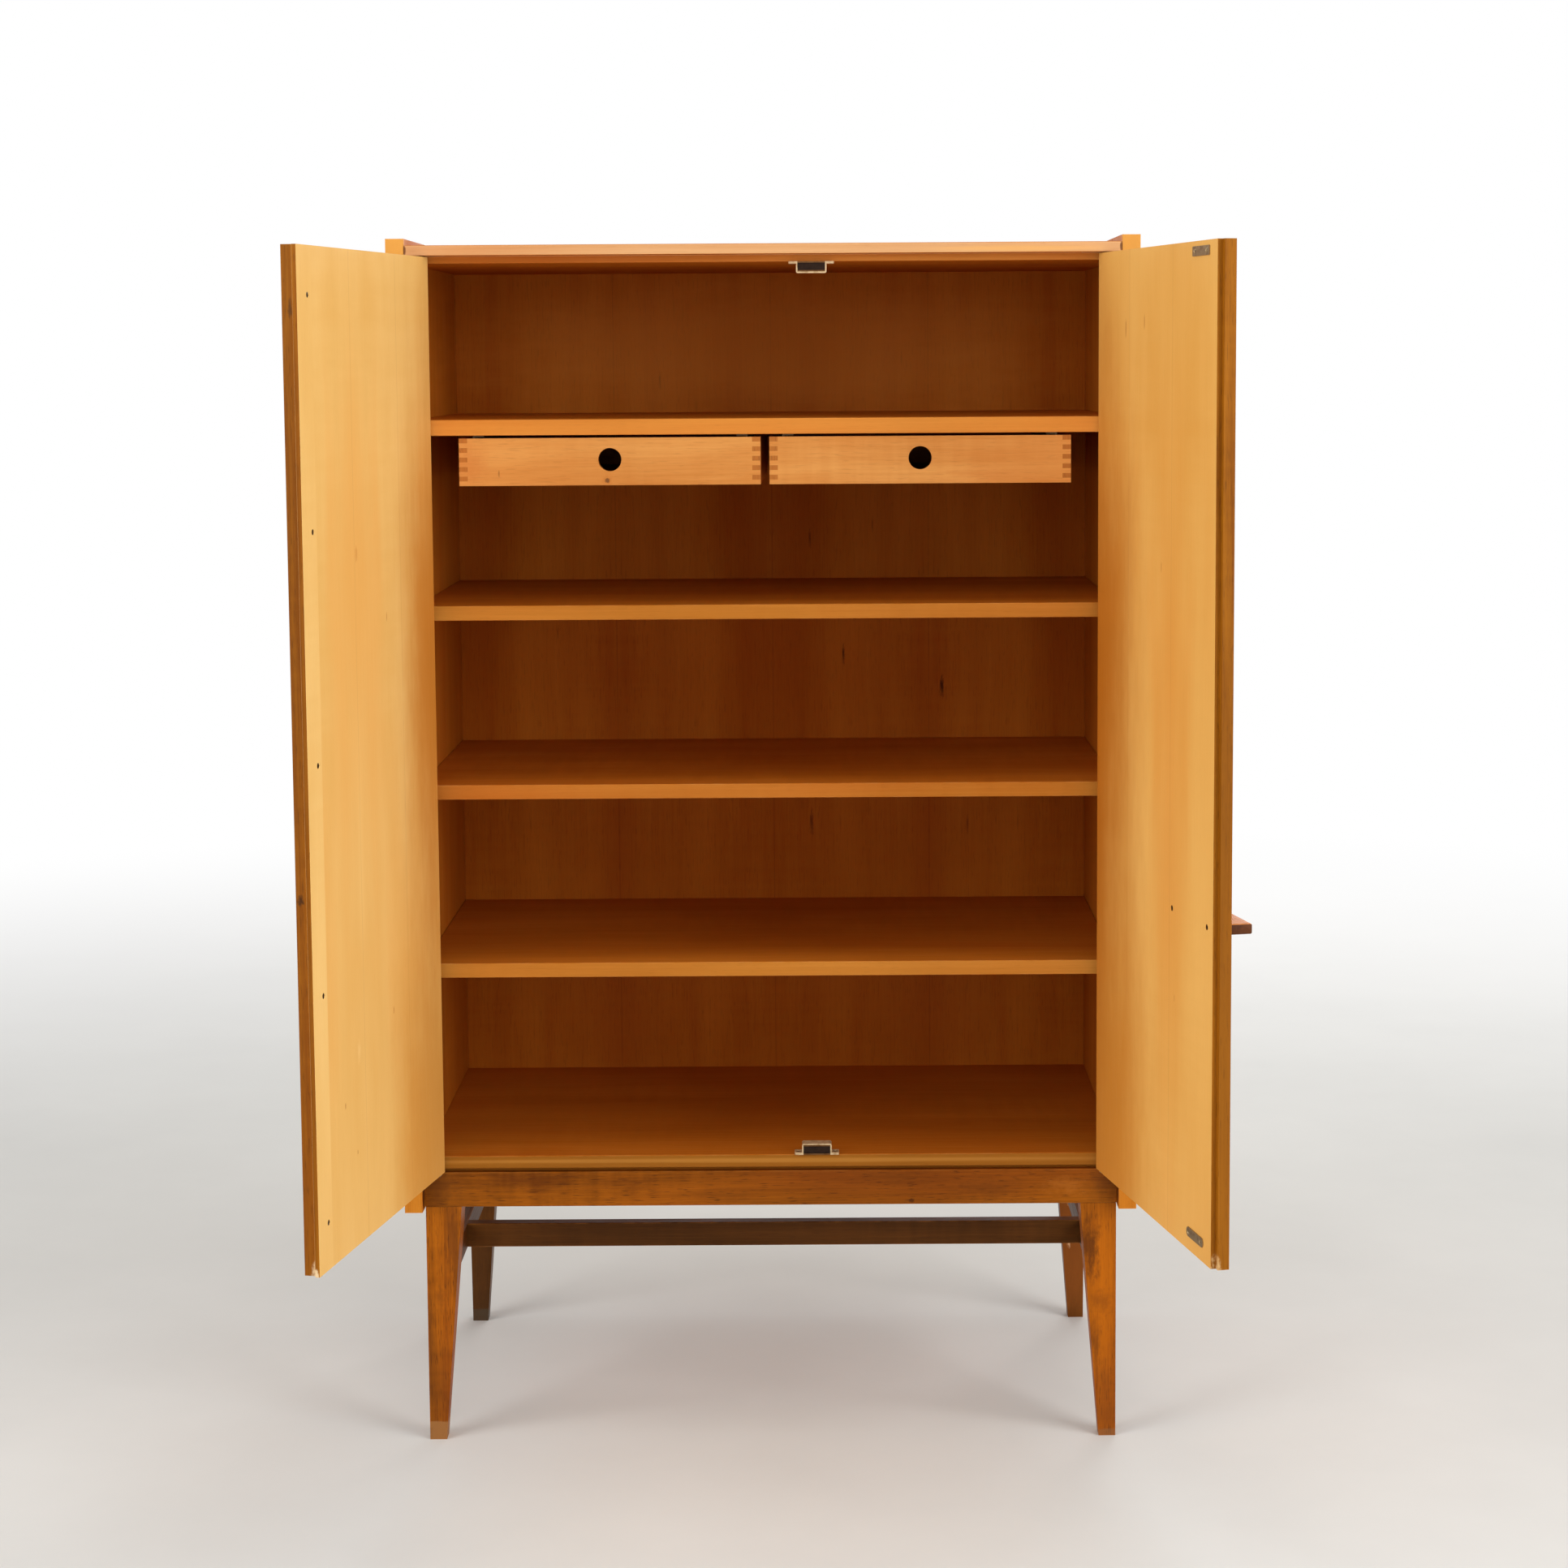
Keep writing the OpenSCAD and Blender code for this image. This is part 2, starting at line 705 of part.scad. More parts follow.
module hinge_right_top() {
    color("#a8a49a") mirror([1, 0, 0]) leaf_top();
}

module hinge_right_bottom() {
    color("#a8a49a") mirror([1, 0, 0]) leaf_bottom();
}

// Puts a shape drawn on the closed left door's own axes in its place, swung open.
// There X runs from the hinge edge to the free edge and Y from the outer face inwards.
module on_door(side) {
    mirrored(side)
        translate([-pivot_x, pivot_y, 0])
            rotate([0, 0, side > 0 ? -right_open : -left_open])
                translate([-pivot_u, -door_t / 2, 0]) children();
}

module door_shape() {
    difference() {
        translate([0, 0, door_z0]) linear_extrude(door_z1 - door_z0)
            plate(door_w, door_t, [hinge_outer_r, ease, ease, hinge_inner_r]);
        for (z = [door_z0 - cut, door_z1 - pivot_l])
            translate([pivot_u, door_t / 2, z])
                cylinder(d = pivot_d + 2 * pivot_fit, h = pivot_l + cut);
    }
}

function strip_screw_zs() = [for (i = [0 : strip_screws_n - 1])
    door_z0 + strip_screw_end + i * (door_z1 - door_z0 - 2 * strip_screw_end) / (strip_screws_n - 1)];

// Puts a screw at each fixing place of the closing strip
module at_strip_screws() {
    for (z = strip_screw_zs())
        translate([strip_x + strip_w - strip_screw_in, door_t, z])
            rotate([-90, 0, 0]) children();
}

module left_door() {
    color("#8a5a2c") on_door(-1) difference() {
        door_shape();
        translate([strip_x, door_t - strip_t, door_z0 - cut])
            cube([strip_w, strip_t + cut, door_z1 - door_z0 + 2 * cut]);
        at_strip_screws() screw_recess(screw_l);
    }
}

module closing_strip() {
    color("#d9a862") on_door(-1) difference() {
        translate([strip_x, door_t - strip_t, door_z0]) linear_extrude(door_z1 - door_z0)
            plate(strip_w, strip_t, [0, ease, ease, 0]);
        at_strip_screws() screw_recess(screw_l);
    }
}

module closing_strip_screws() {
    color("#6e6250") on_door(-1) at_strip_screws() small_screw(screw_l);
}

// Puts a screw at both fixing places of the handle
module at_handle_screws() {
    for (s = [-1, 1])
        translate([handle_mid + s * handle_screw_pitch / 2, door_t, handle_z])
            rotate([-90, 0, 0]) children();
}

module right_door() {
    color("#8a5a2c") on_door(1) difference() {
        door_shape();
        translate([door_w - rebate_w, door_t - strip_t - strip_play, door_z0 - cut])
            cube([rebate_w + cut, strip_t + strip_play + cut, door_z1 - door_z0 + 2 * cut]);
        at_handle_screws() screw_recess(door_t);
        for (top = [true, false])
            at_strike_screws(top) screw_recess(screw_l);
    }
}

// Section of the handle in Y and Z, with the door's face at Y = 0 and the grip towards negative Y
module handle_section() {
    difference() {
        translate([-handle_out, -handle_h / 2])
            plate(handle_out, handle_h, [handle_h / 3, 0, 0, handle_h / 4]);
        translate([-handle_groove_r - handle_groove_in, -handle_h / 2 - handle_groove_r / 3])
            circle(handle_groove_r);
    }
}

module handle() {
    color("#7a3b1c") on_door(1) difference() {
        translate([handle_u0, 0, handle_z]) along_x(handle_l) handle_section();
        at_handle_screws() screw_recess(door_t + screw_l - screw_head_h);
    }
}

module handle_screws() {
    color("#6e6250") on_door(1)
        at_handle_screws() small_screw(door_t + screw_l - screw_head_h);
}

function strike_z(top) = top ? catch_top_z - catch_h / 2 + strike_shift
    : catch_bottom_z + catch_h / 2 - strike_shift;

// Puts a screw at both fixing places of a strike plate
module at_strike_screws(top) {
    for (s = [-1, 1])
        translate([strike_u + s * strike_screw_pitch / 2, door_t + strike_t, strike_z(top)])
            rotate([-90, 0, 0]) children();
}

// Strike plate on the right door's inner face, square-ended above and round-ended below
module strike_plate(top) {
    r = strike_w / 2;
    difference() {
        translate([strike_u, door_t, strike_z(top)]) rotate([-90, 0, 0])
            linear_extrude(strike_t) translate([-strike_l / 2, -r])
                plate(strike_l, strike_w, top ? [strike_r, strike_r, strike_r, strike_r] : [r, r, r, r]);
        at_strike_screws(top) screw_recess(screw_l);
    }
}

module strike_plate_top() {
    color("#9c9a94") on_door(1) strike_plate(true);
}

module strike_plate_bottom() {
    color("#9c9a94") on_door(1) strike_plate(false);
}

module strike_plate_screws() {
    color("#c9c4b4") on_door(1)
        for (top = [true, false])
            at_strike_screws(top) small_screw(screw_l);
}

// Board at a drawer's end, cut for the fingers of both sides
module drawer_end(t, n) {
    difference() {
        cube([drawer_w, t, n * finger_h]);
        for (i = [0 : finger_n - 1])
            if (i % 2 == 0)
                for (x = [-cut, drawer_w - drawer_side_t])
                    translate([x, -cut, drawer_h - (i + 1) * finger_h])
                        cube([drawer_side_t + cut, t + 2 * cut, finger_h]);
    }
}

// Space that a drawer's bottom fills
module drawer_bottom_space() {
    g = drawer_bottom_groove;
    translate([drawer_side_t - g, drawer_front_t - g, drawer_bottom_rise])
        cube([drawer_w - 2 * (drawer_side_t - g), drawer_d - drawer_front_t - drawer_back_t + 2 * g,
            drawer_bottom_t]);
}

module drawer_front_shape() {
    difference() {
        drawer_end(drawer_front_t, finger_n);
        drawer_bottom_space();
        translate([drawer_w / 2, -cut, drawer_h - hole_drop])
            rotate([-90, 0, 0]) cylinder(d = hole_d, h = drawer_front_t + 2 * cut);
    }
}

module drawer_back_shape() {
    difference() {
        translate([0, drawer_d - drawer_back_t, 0]) drawer_end(drawer_back_t, back_finger_n);
        drawer_bottom_space();
    }
}

// Left side of a drawer
module drawer_side_shape() {
    difference() {
        cube([drawer_side_t, drawer_d, drawer_h]);
        for (i = [0 : finger_n - 1])
            if (i % 2 == 1) {
                translate([-cut, -cut, drawer_h - (i + 1) * finger_h])
                    cube([drawer_side_t + 2 * cut, drawer_front_t + cut, finger_h]);
                if (i >= finger_n - back_finger_n)
                    translate([-cut, drawer_d - drawer_back_t, drawer_h - (i + 1) * finger_h])
                        cube([drawer_side_t + 2 * cut, drawer_back_t + cut, finger_h]);
            }
        drawer_bottom_space();
        translate([drawer_side_t - rail_groove_d, drawer_front_t, hook_z0 - drawer_z - rail_play])
            cube([rail_groove_d + cut, drawer_d, rail_t + 2 * rail_play]);
    }
}

module at_drawer(side) {
    translate([side * (drawer_w + drawer_gap) / 2 - drawer_w / 2, drawer_y, drawer_z]) children();
}

module drawer_front(side) {
    color("#dba45c") at_drawer(side) drawer_front_shape();
}

module drawer_back(side) {
    color("#d39a52") at_drawer(side) drawer_back_shape();
}

module drawer_side_left(side) {
    color("#d39a52") at_drawer(side) drawer_side_shape();
}

module drawer_side_right(side) {
    color("#d39a52") at_drawer(side) translate([drawer_w, 0, 0]) mirror([1, 0, 0]) drawer_side_shape();
}

module drawer_bottom(side) {
    color("#c08c50") at_drawer(side) drawer_bottom_space();
}

module left_drawer_front() drawer_front(-1);

module left_drawer_back() drawer_back(-1);

module left_drawer_side_left() drawer_side_left(-1);

module left_drawer_side_right() drawer_side_right(-1);

module left_drawer_bottom() drawer_bottom(-1);

module right_drawer_front() drawer_front(1);

module right_drawer_back() drawer_back(1);

module right_drawer_side_left() drawer_side_left(1);

module right_drawer_side_right() drawer_side_right(1);

module right_drawer_bottom() drawer_bottom(1);

// Centres of the leg tenons along Y, under the middle of each apron
function tenon_y(rear) = rear ? rear_y - apron_t / 2 : base_front_y + apron_t / 2;

module apron(rear) {
    y = rear ? rear_y - apron_t : base_front_y;
    difference() {
        translate([-base_w / 2, y, side_bottom_z])
            along_x(base_w) plate(apron_t, apron_h, rear ? [0, ease, 0, 0] : [ease, 0, 0, 0]);
        for (s = [-1, 1])
            translate([s * (base_w - leg_top_w) / 2, tenon_y(rear), side_bottom_z - cut])
                cylinder(d = leg_tenon_d, h = leg_tenon_l + cut);
    }
}

module apron_front() {
    color("#7d4a22") apron(false);
}

module apron_rear() {
    color("#7d4a22") apron(true);
}

module side_rail_shape() {
    translate([-base_w / 2, base_front_y + apron_t, side_bottom_z])
        along_y(base_d - 2 * apron_t) plate(apron_t, apron_h, [0, ease, 0, 0]);
}

module side_rail_left() {
    color("#744420") side_rail_shape();
}

module side_rail_right() {
    color("#744420") mirror([1, 0, 0]) side_rail_shape();
}

// Leg with its outer corner at the origin, tapered on the two faces towards the cabinet's middle
module leg_shape() {
    taper = [[0, 0], [leg_foot_w, 0], [leg_top_w, leg_h], [0, leg_h]];
    intersection() {
        along_y(leg_top_w) polygon(taper);
        along_x(leg_top_w) polygon(taper);
    }
}

module leg(side, rear) {
    color("#80491f") {
        mirrored(side) translate([-base_w / 2, rear ? rear_y : base_front_y, 0])
            mirror([0, rear ? 1 : 0, 0]) leg_shape();
        translate([side * (base_w - leg_top_w) / 2, tenon_y(rear), leg_h - cut])
            cylinder(d = leg_tenon_d, h = leg_tenon_l + cut);
    }
}

module leg_front_left() leg(-1, false);

module leg_front_right() leg(1, false);

module leg_rear_left() leg(-1, true);

module leg_rear_right() leg(1, true);

// Side stretcher whose ends are cut to the taper of the legs
module side_stretcher_shape() {
    z0 = stretcher_z - stretcher_h;
    y0 = base_front_y;
    difference() {
        translate([-base_w / 2 + stretcher_inset, 0, 0])
            along_x(stretcher_t)
                polygon([[y0 + leg_w(z0), z0], [rear_y - leg_w(z0), z0],
                    [rear_y - leg_w(stretcher_z), stretcher_z], [y0 + leg_w(stretcher_z), stretcher_z]]);
        cross_tenon();
    }
}

// Tenon of the cross stretcher at its left end
module cross_tenon() {
    shoulder = stretcher_h / 5;
    translate([-stretcher_x - stretcher_tenon_l, cross_y() - stretcher_tenon_t / 2,
        stretcher_z - stretcher_h + shoulder])
        cube([stretcher_tenon_l, stretcher_tenon_t, stretcher_h - 2 * shoulder]);
}

function cross_y() = base_front_y + cross_setback + stretcher_t / 2;

module stretcher_left() {
    color("#6b3f1e") side_stretcher_shape();
}

module stretcher_right() {
    color("#6b3f1e") mirror([1, 0, 0]) side_stretcher_shape();
}

module stretcher_cross() {
    color("#6b3f1e") {
        translate([-stretcher_x, cross_y() - stretcher_t / 2, stretcher_z - stretcher_h])
            along_x(2 * stretcher_x) plate(stretcher_t, stretcher_h, [ease, ease, ease, ease]);
        cross_tenon();
        mirror([1, 0, 0]) cross_tenon();
    }
}

side_panel_left();
side_panel_right();
top_panel();
bottom_panel();
back_panel();
back_panel_screws();
fixed_shelf();
shelf_upper();
shelf_middle();
shelf_lower();
shelf_pins_upper();
shelf_pins_middle();
shelf_pins_lower();
catch_bracket_top();
catch_bracket_bottom();
catch_magnet_top();
catch_magnet_bottom();
catch_pole_plates();
catch_screws();
rail_left_outer();
rail_left_inner();
rail_right_inner();
rail_right_outer();
rail_screws();
hinge_left_top();
hinge_left_bottom();
hinge_right_top();
hinge_right_bottom();
left_door();
closing_strip();
closing_strip_screws();
right_door();
handle();
handle_screws();
strike_plate_top();
strike_plate_bottom();
strike_plate_screws();
left_drawer_front();
left_drawer_back();
left_drawer_side_left();
left_drawer_side_right();
left_drawer_bottom();
right_drawer_front();
right_drawer_back();
right_drawer_side_left();
right_drawer_side_right();
right_drawer_bottom();
apron_front();
apron_rear();
side_rail_left();
side_rail_right();
leg_front_left();
leg_front_right();
leg_rear_left();
leg_rear_right();
stretcher_left();
stretcher_right();
stretcher_cross();
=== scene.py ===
import json
import math
import bmesh
import bpy
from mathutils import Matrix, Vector

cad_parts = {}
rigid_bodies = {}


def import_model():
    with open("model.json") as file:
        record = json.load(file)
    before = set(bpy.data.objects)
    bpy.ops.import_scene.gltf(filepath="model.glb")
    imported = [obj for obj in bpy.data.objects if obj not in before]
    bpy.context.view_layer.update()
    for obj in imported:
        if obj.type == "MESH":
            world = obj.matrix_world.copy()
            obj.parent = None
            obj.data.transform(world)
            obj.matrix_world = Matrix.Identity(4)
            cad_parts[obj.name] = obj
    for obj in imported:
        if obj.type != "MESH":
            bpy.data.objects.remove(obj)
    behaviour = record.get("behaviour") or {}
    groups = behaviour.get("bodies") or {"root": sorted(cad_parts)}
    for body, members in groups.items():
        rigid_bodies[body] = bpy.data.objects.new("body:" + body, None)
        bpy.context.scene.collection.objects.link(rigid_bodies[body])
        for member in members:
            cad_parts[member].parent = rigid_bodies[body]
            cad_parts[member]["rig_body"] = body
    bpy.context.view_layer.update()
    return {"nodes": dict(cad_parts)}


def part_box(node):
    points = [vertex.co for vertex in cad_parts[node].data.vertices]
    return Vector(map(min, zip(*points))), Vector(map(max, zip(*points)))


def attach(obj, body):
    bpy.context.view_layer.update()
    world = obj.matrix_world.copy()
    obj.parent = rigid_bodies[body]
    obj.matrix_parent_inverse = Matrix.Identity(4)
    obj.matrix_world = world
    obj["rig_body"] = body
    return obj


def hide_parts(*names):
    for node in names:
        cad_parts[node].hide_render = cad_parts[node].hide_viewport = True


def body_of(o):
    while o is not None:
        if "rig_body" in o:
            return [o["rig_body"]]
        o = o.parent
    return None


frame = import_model()
nodes = frame["nodes"]
print("frame loaded,", len(nodes), "pieces")


def placed(name, data):
    thing = bpy.data.objects.new(name, data)
    bpy.context.collection.objects.link(thing)
    return thing


# Camera at the photograph's place
cameraValues = {
    "lens": 67.16,  # mm
    "sensor": 36,  # mm
    "place": (0.0605, -3.3455, 1.1878),
    "shift": (-0.0234, -0.085),
    "pitch": 5.643,  # degrees, down
    "roll": 0.354,  # degrees
    "farthest": 60,
}


def makeCamera(values):
    data = bpy.data.cameras.new("photoCamera")
    data.lens = values["lens"]
    data.sensor_width = values["sensor"]
    data.shift_x, data.shift_y = values["shift"]
    data.clip_end = values["farthest"]
    camera = placed("photoCamera", data)
    camera.location = values["place"]
    tilt = math.radians(90 - values["pitch"])
    camera.rotation_euler = (tilt, math.radians(values["roll"]), 0)
    bpy.context.scene.camera = camera


makeCamera(cameraValues)
bpy.context.scene.view_settings.view_transform = "Standard"
print("camera placed")


# Colours are written as 0 to 255 and turned to scene values here
def tone(r, g, b):
    return tuple(c / 12.92 if c <= 0.04045 else ((c + 0.055) / 1.055) ** 2.4
                 for c in (r / 255, g / 255, b / 255)) + (1.0,)


def put(tree, kind, inputs=None, **properties):
    node = tree.nodes.new(kind)
    for name, value in properties.items():
        setattr(node, name, value)
    for name, value in (inputs or {}).items():
        if isinstance(value, bpy.types.NodeSocket):
            tree.links.new(value, node.inputs[name])
        else:
            node.inputs[name].default_value = value
    return node


def math2(tree, operation, a, b=0.0, clamp=False):
    return put(tree, "ShaderNodeMath", {0: a, 1: b}, operation=operation, use_clamp=clamp).outputs[0]


def vector2(tree, operation, a, b=(0, 0, 0)):
    return put(tree, "ShaderNodeVectorMath", {0: a, 1: b}, operation=operation).outputs[0]


def joined(tree, x, y, z):
    return put(tree, "ShaderNodeCombineXYZ", {0: x, 1: y, 2: z}).outputs[0]


def split(tree, vector):
    return put(tree, "ShaderNodeSeparateXYZ", {0: vector}).outputs


def lengthOf(tree, vector):
    return put(tree, "ShaderNodeVectorMath", {0: vector}, operation="LENGTH").outputs["Value"]


def blendColour(tree, factor, a, b):
    return put(tree, "ShaderNodeMix", {0: factor, 6: a, 7: b}, data_type="RGBA").outputs[2]


def blendValue(tree, factor, a, b):
    return put(tree, "ShaderNodeMix", {0: factor, 2: a, 3: b}).outputs[0]


def remap(tree, value, span, out=(0.0, 1.0), smooth=False):
    return put(tree, "ShaderNodeMapRange",
               {"Value": value, "From Min": span[0], "From Max": span[1], "To Min": out[0],
                "To Max": out[1]}, interpolation_type="SMOOTHSTEP" if smooth else "LINEAR").outputs[0]


# Size is in waves a metre along each axis
def noise(tree, vector, size, detail=3.0, roughness=0.55, output="Fac"):
    return put(tree, "ShaderNodeTexNoise",
               {"Vector": vector2(tree, "MULTIPLY", vector, size), "Scale": 1.0, "Detail": detail,
                "Roughness": roughness}).outputs[output]


# The used span of a noise, spread about zero, times its depth
def share(tree, value, span, depth):
    return math2(tree, "MULTIPLY", remap(tree, value, span, (-0.5, 0.5)), depth)


def addRelief(tree, shader, height, strength, depth):
    relief = put(tree, "ShaderNodeBump", {"Strength": strength, "Distance": depth, "Height": height})
    tree.links.new(relief.outputs[0], shader.inputs["Normal"])


def newGroup(name, inputs, outputs):
    group = bpy.data.node_groups.new(name, "ShaderNodeTree")
    for label, kind, default in inputs:
        socket = group.interface.new_socket(label, in_out="INPUT", socket_type="NodeSocket" + kind)
        if default is not None:
            socket.default_value = default
    for label, kind in outputs:
        group.interface.new_socket(label, in_out="OUTPUT", socket_type="NodeSocket" + kind)
    given = group.nodes.new("NodeGroupInput").outputs
    return group, given, group.nodes.new("NodeGroupOutput").inputs


def placeGroup(tree, group, values):
    return put(tree, "ShaderNodeGroup", values, node_tree=group).outputs


# Timber with its grain along X: clouds, wandering streaks, curl across the grain, fibres and flecks
timberValues = {
    # each noise: its size, detail and roughness
    "drift": ((1.4, 3.5, 3.5), 2.0, 0.55), "cloud": ((2.0, 6.5, 6.5), 3.0, 0.55),
    "patch": ((1.7, 4.0, 4.0), 1.0, 0.55), "curl": ((62.0, 9.0, 9.0), 2.0, 0.55),
    "fibre": ((9.0, 480.0, 480.0), 3.0, 0.65), "fleck": ((60.0, 900.0, 900.0), 1.0, 0.55),
    "blush": ((1.1, 8.0, 8.0), 2.0, 0.55), "streak": (5.0, 0.62), "streakAlong": 0.55,
    # the part of each noise that is used
    "cloudSpan": (0.32, 0.68), "streakSpan": (0.3, 0.7), "patchSpan": (0.46, 0.62),
    "curlSpan": (0.35, 0.65), "fibreSpan": (0.32, 0.68), "fleckSpan": (0.6, 0.7), "blushSpan": (0.48, 0.72),
    "fibreRelief": 0.6, "streakRelief": 0.25,
}


def makeTimberGroup(values):
    group, given, result = newGroup("timber", [
        ("Vector", "Vector", None),
        ("Light", "Color", (0.7, 0.5, 0.3, 1)), ("Dark", "Color", (0.5, 0.3, 0.15, 1)),
        ("Pore", "Color", (0.2, 0.1, 0.05, 1)), ("Blush", "Color", (0.6, 0.3, 0.1, 1)),
        ("Cloud", "Float", 0.6), ("Streak", "Float", 0.4), ("Streak Scale", "Float", 16.0),
        ("Wander", "Float", 0.02), ("Curl", "Float", 0.0), ("Fibre", "Float", 0.2),
        ("Fleck", "Float", 0.1), ("Blush Depth", "Float", 0.2),
    ], [("Color", "Color"), ("Height", "Float"), ("Polish", "Float")])
    vector = given["Vector"]
    drift = noise(group, vector, *values["drift"], output="Color")
    push = joined(group, 0.0, given["Wander"], given["Wander"])
    sway = vector2(group, "MULTIPLY", vector2(group, "SUBTRACT", drift, (0.5, 0.5, 0.5)), push)
    bent = vector2(group, "ADD", vector, sway)
    streakSize = joined(group, values["streakAlong"], given["Streak Scale"], given["Streak Scale"])
    streak = noise(group, bent, streakSize, *values["streak"])
    cloud = noise(group, bent, *values["cloud"])
    patch = remap(group, noise(group, vector, *values["patch"]), values["patchSpan"])
    curl = noise(group, bent, *values["curl"])
    fibre = noise(group, vector, *values["fibre"])
    fleck = remap(group, noise(group, vector, *values["fleck"]), values["fleckSpan"])
    total = math2(group, "ADD", share(group, cloud, values["cloudSpan"], given["Cloud"]), 0.5)
    total = math2(group, "ADD", total, share(group, streak, values["streakSpan"], given["Streak"]))
    curlDepth = math2(group, "MULTIPLY", patch, given["Curl"])
    total = math2(group, "ADD", total, share(group, curl, values["curlSpan"], curlDepth))
    fibreShare = share(group, fibre, values["fibreSpan"], given["Fibre"])
    total = math2(group, "ADD", total, fibreShare, clamp=True)
    colour = blendColour(group, total, given["Light"], given["Dark"])
    blush = remap(group, noise(group, bent, *values["blush"]), values["blushSpan"], smooth=True)
    blushDepth = math2(group, "MULTIPLY", blush, given["Blush Depth"])
    colour = blendColour(group, blushDepth, colour, given["Blush"])
    fleckDepth = math2(group, "MULTIPLY", fleck, given["Fleck"])
    colour = blendColour(group, fleckDepth, colour, given["Pore"])
    fibreHeight = math2(group, "MULTIPLY", fibre, values["fibreRelief"])
    streakHeight = math2(group, "MULTIPLY", streak, values["streakRelief"])
    height = math2(group, "ADD", math2(group, "SUBTRACT", fibreHeight, fleckDepth), streakHeight)
    polish = math2(group, "MULTIPLY", math2(group, "ADD", fibre, cloud), 0.5)
    group.links.new(colour, result["Color"])
    group.links.new(height, result["Height"])
    group.links.new(polish, result["Polish"])
    return group


# Veneer leaves laid side by side along Y, each the mirror of its neighbour
leafValues = {"jointWidth": 0.0008, "shadeDepth": 0.28, "jointDepth": 0.3}


def makeLeafGroup(values):
    group, given, result = newGroup("veneerLeaves",
                                    [("Vector", "Vector", None), ("Leaf Width", "Float", 0.14)],
                                    [("Vector", "Vector"), ("Shade", "Float"), ("Joint", "Float")])
    width = given["Leaf Width"]
    along, across, deep = split(group, given["Vector"])
    folded = math2(group, "PINGPONG", across, width)
    number = math2(group, "FLOOR", math2(group, "DIVIDE", across, width))
    shade = put(group, "ShaderNodeTexWhiteNoise", {"W": number}, noise_dimensions="1D").outputs["Value"]
    gap = math2(group, "MINIMUM", folded, math2(group, "SUBTRACT", width, folded))
    group.links.new(joined(group, along, folded, deep), result["Vector"])
    group.links.new(shade, result["Shade"])
    group.links.new(remap(group, gap, (0.0, values["jointWidth"]), (1.0, 0.0)), result["Joint"])
    return group


# A soft spot with a ragged outline, for knots, dark flecks, chips and stains, and for painted shade and
# painted light
spotValues = {"tear": ((1.9, 1.9, 1.9), 4.0, 0.7), "tearSpan": (0.3, 0.7)}


def makeSpotGroup(values):
    group, given, result = newGroup("spot", [
        ("Vector", "Vector", None), ("Place", "Vector", (0, 0, 0)), ("Reach", "Vector", (0.01, 0.01, 0.01)),
        ("Ragged", "Float", 0.5), ("Core", "Float", 0.5),
    ], [("Mask", "Float")])
    offset = vector2(group, "SUBTRACT", given["Vector"], given["Place"])
    offset = vector2(group, "DIVIDE", offset, given["Reach"])
    torn = share(group, noise(group, offset, *values["tear"]), values["tearSpan"], given["Ragged"])
    edge = math2(group, "ADD", lengthOf(group, offset), torn)
    mask = remap(group, edge, (given["Core"], 1.0), (1.0, 0.0), smooth=True)
    group.links.new(mask, result["Mask"])
    return group


# Wear along the arrises of a board, found from its own box
arrisValues = {"rub": ((38.0, 38.0, 38.0), 4.0, 0.65), "rubSpan": (0.4, 0.66), "edgeSpan": (0.3, 1.0)}


def makeArrisGroup(values):
    group, given, result = newGroup("arrisWear", [
        ("Vector", "Vector", None), ("Low", "Vector", (0, 0, 0)), ("High", "Vector", (1, 1, 1)),
        ("Width", "Float", 0.0015),
    ], [("Mask", "Float")])
    below = vector2(group, "ABSOLUTE", vector2(group, "SUBTRACT", given["Vector"], given["Low"]))
    above = vector2(group, "ABSOLUTE", vector2(group, "SUBTRACT", given["High"], given["Vector"]))
    x, y, z = split(group, vector2(group, "MINIMUM", below, above))
    # the middle one of the three distances is small only near an arris
    middle = math2(group, "MAXIMUM", math2(group, "MINIMUM", x, y),
                   math2(group, "MINIMUM", math2(group, "MAXIMUM", x, y), z))
    rubbed = remap(group, noise(group, given["Vector"], *values["rub"]), values["rubSpan"])
    reach = math2(group, "DIVIDE", middle, given["Width"])
    near = remap(group, reach, values["edgeSpan"], (1.0, 0.0), smooth=True)
    group.links.new(math2(group, "MULTIPLY", near, rubbed), result["Mask"])
    return group


timberGroup = makeTimberGroup(timberValues)
leafGroup = makeLeafGroup(leafValues)
spotGroup = makeSpotGroup(spotValues)
arrisGroup = makeArrisGroup(arrisValues)

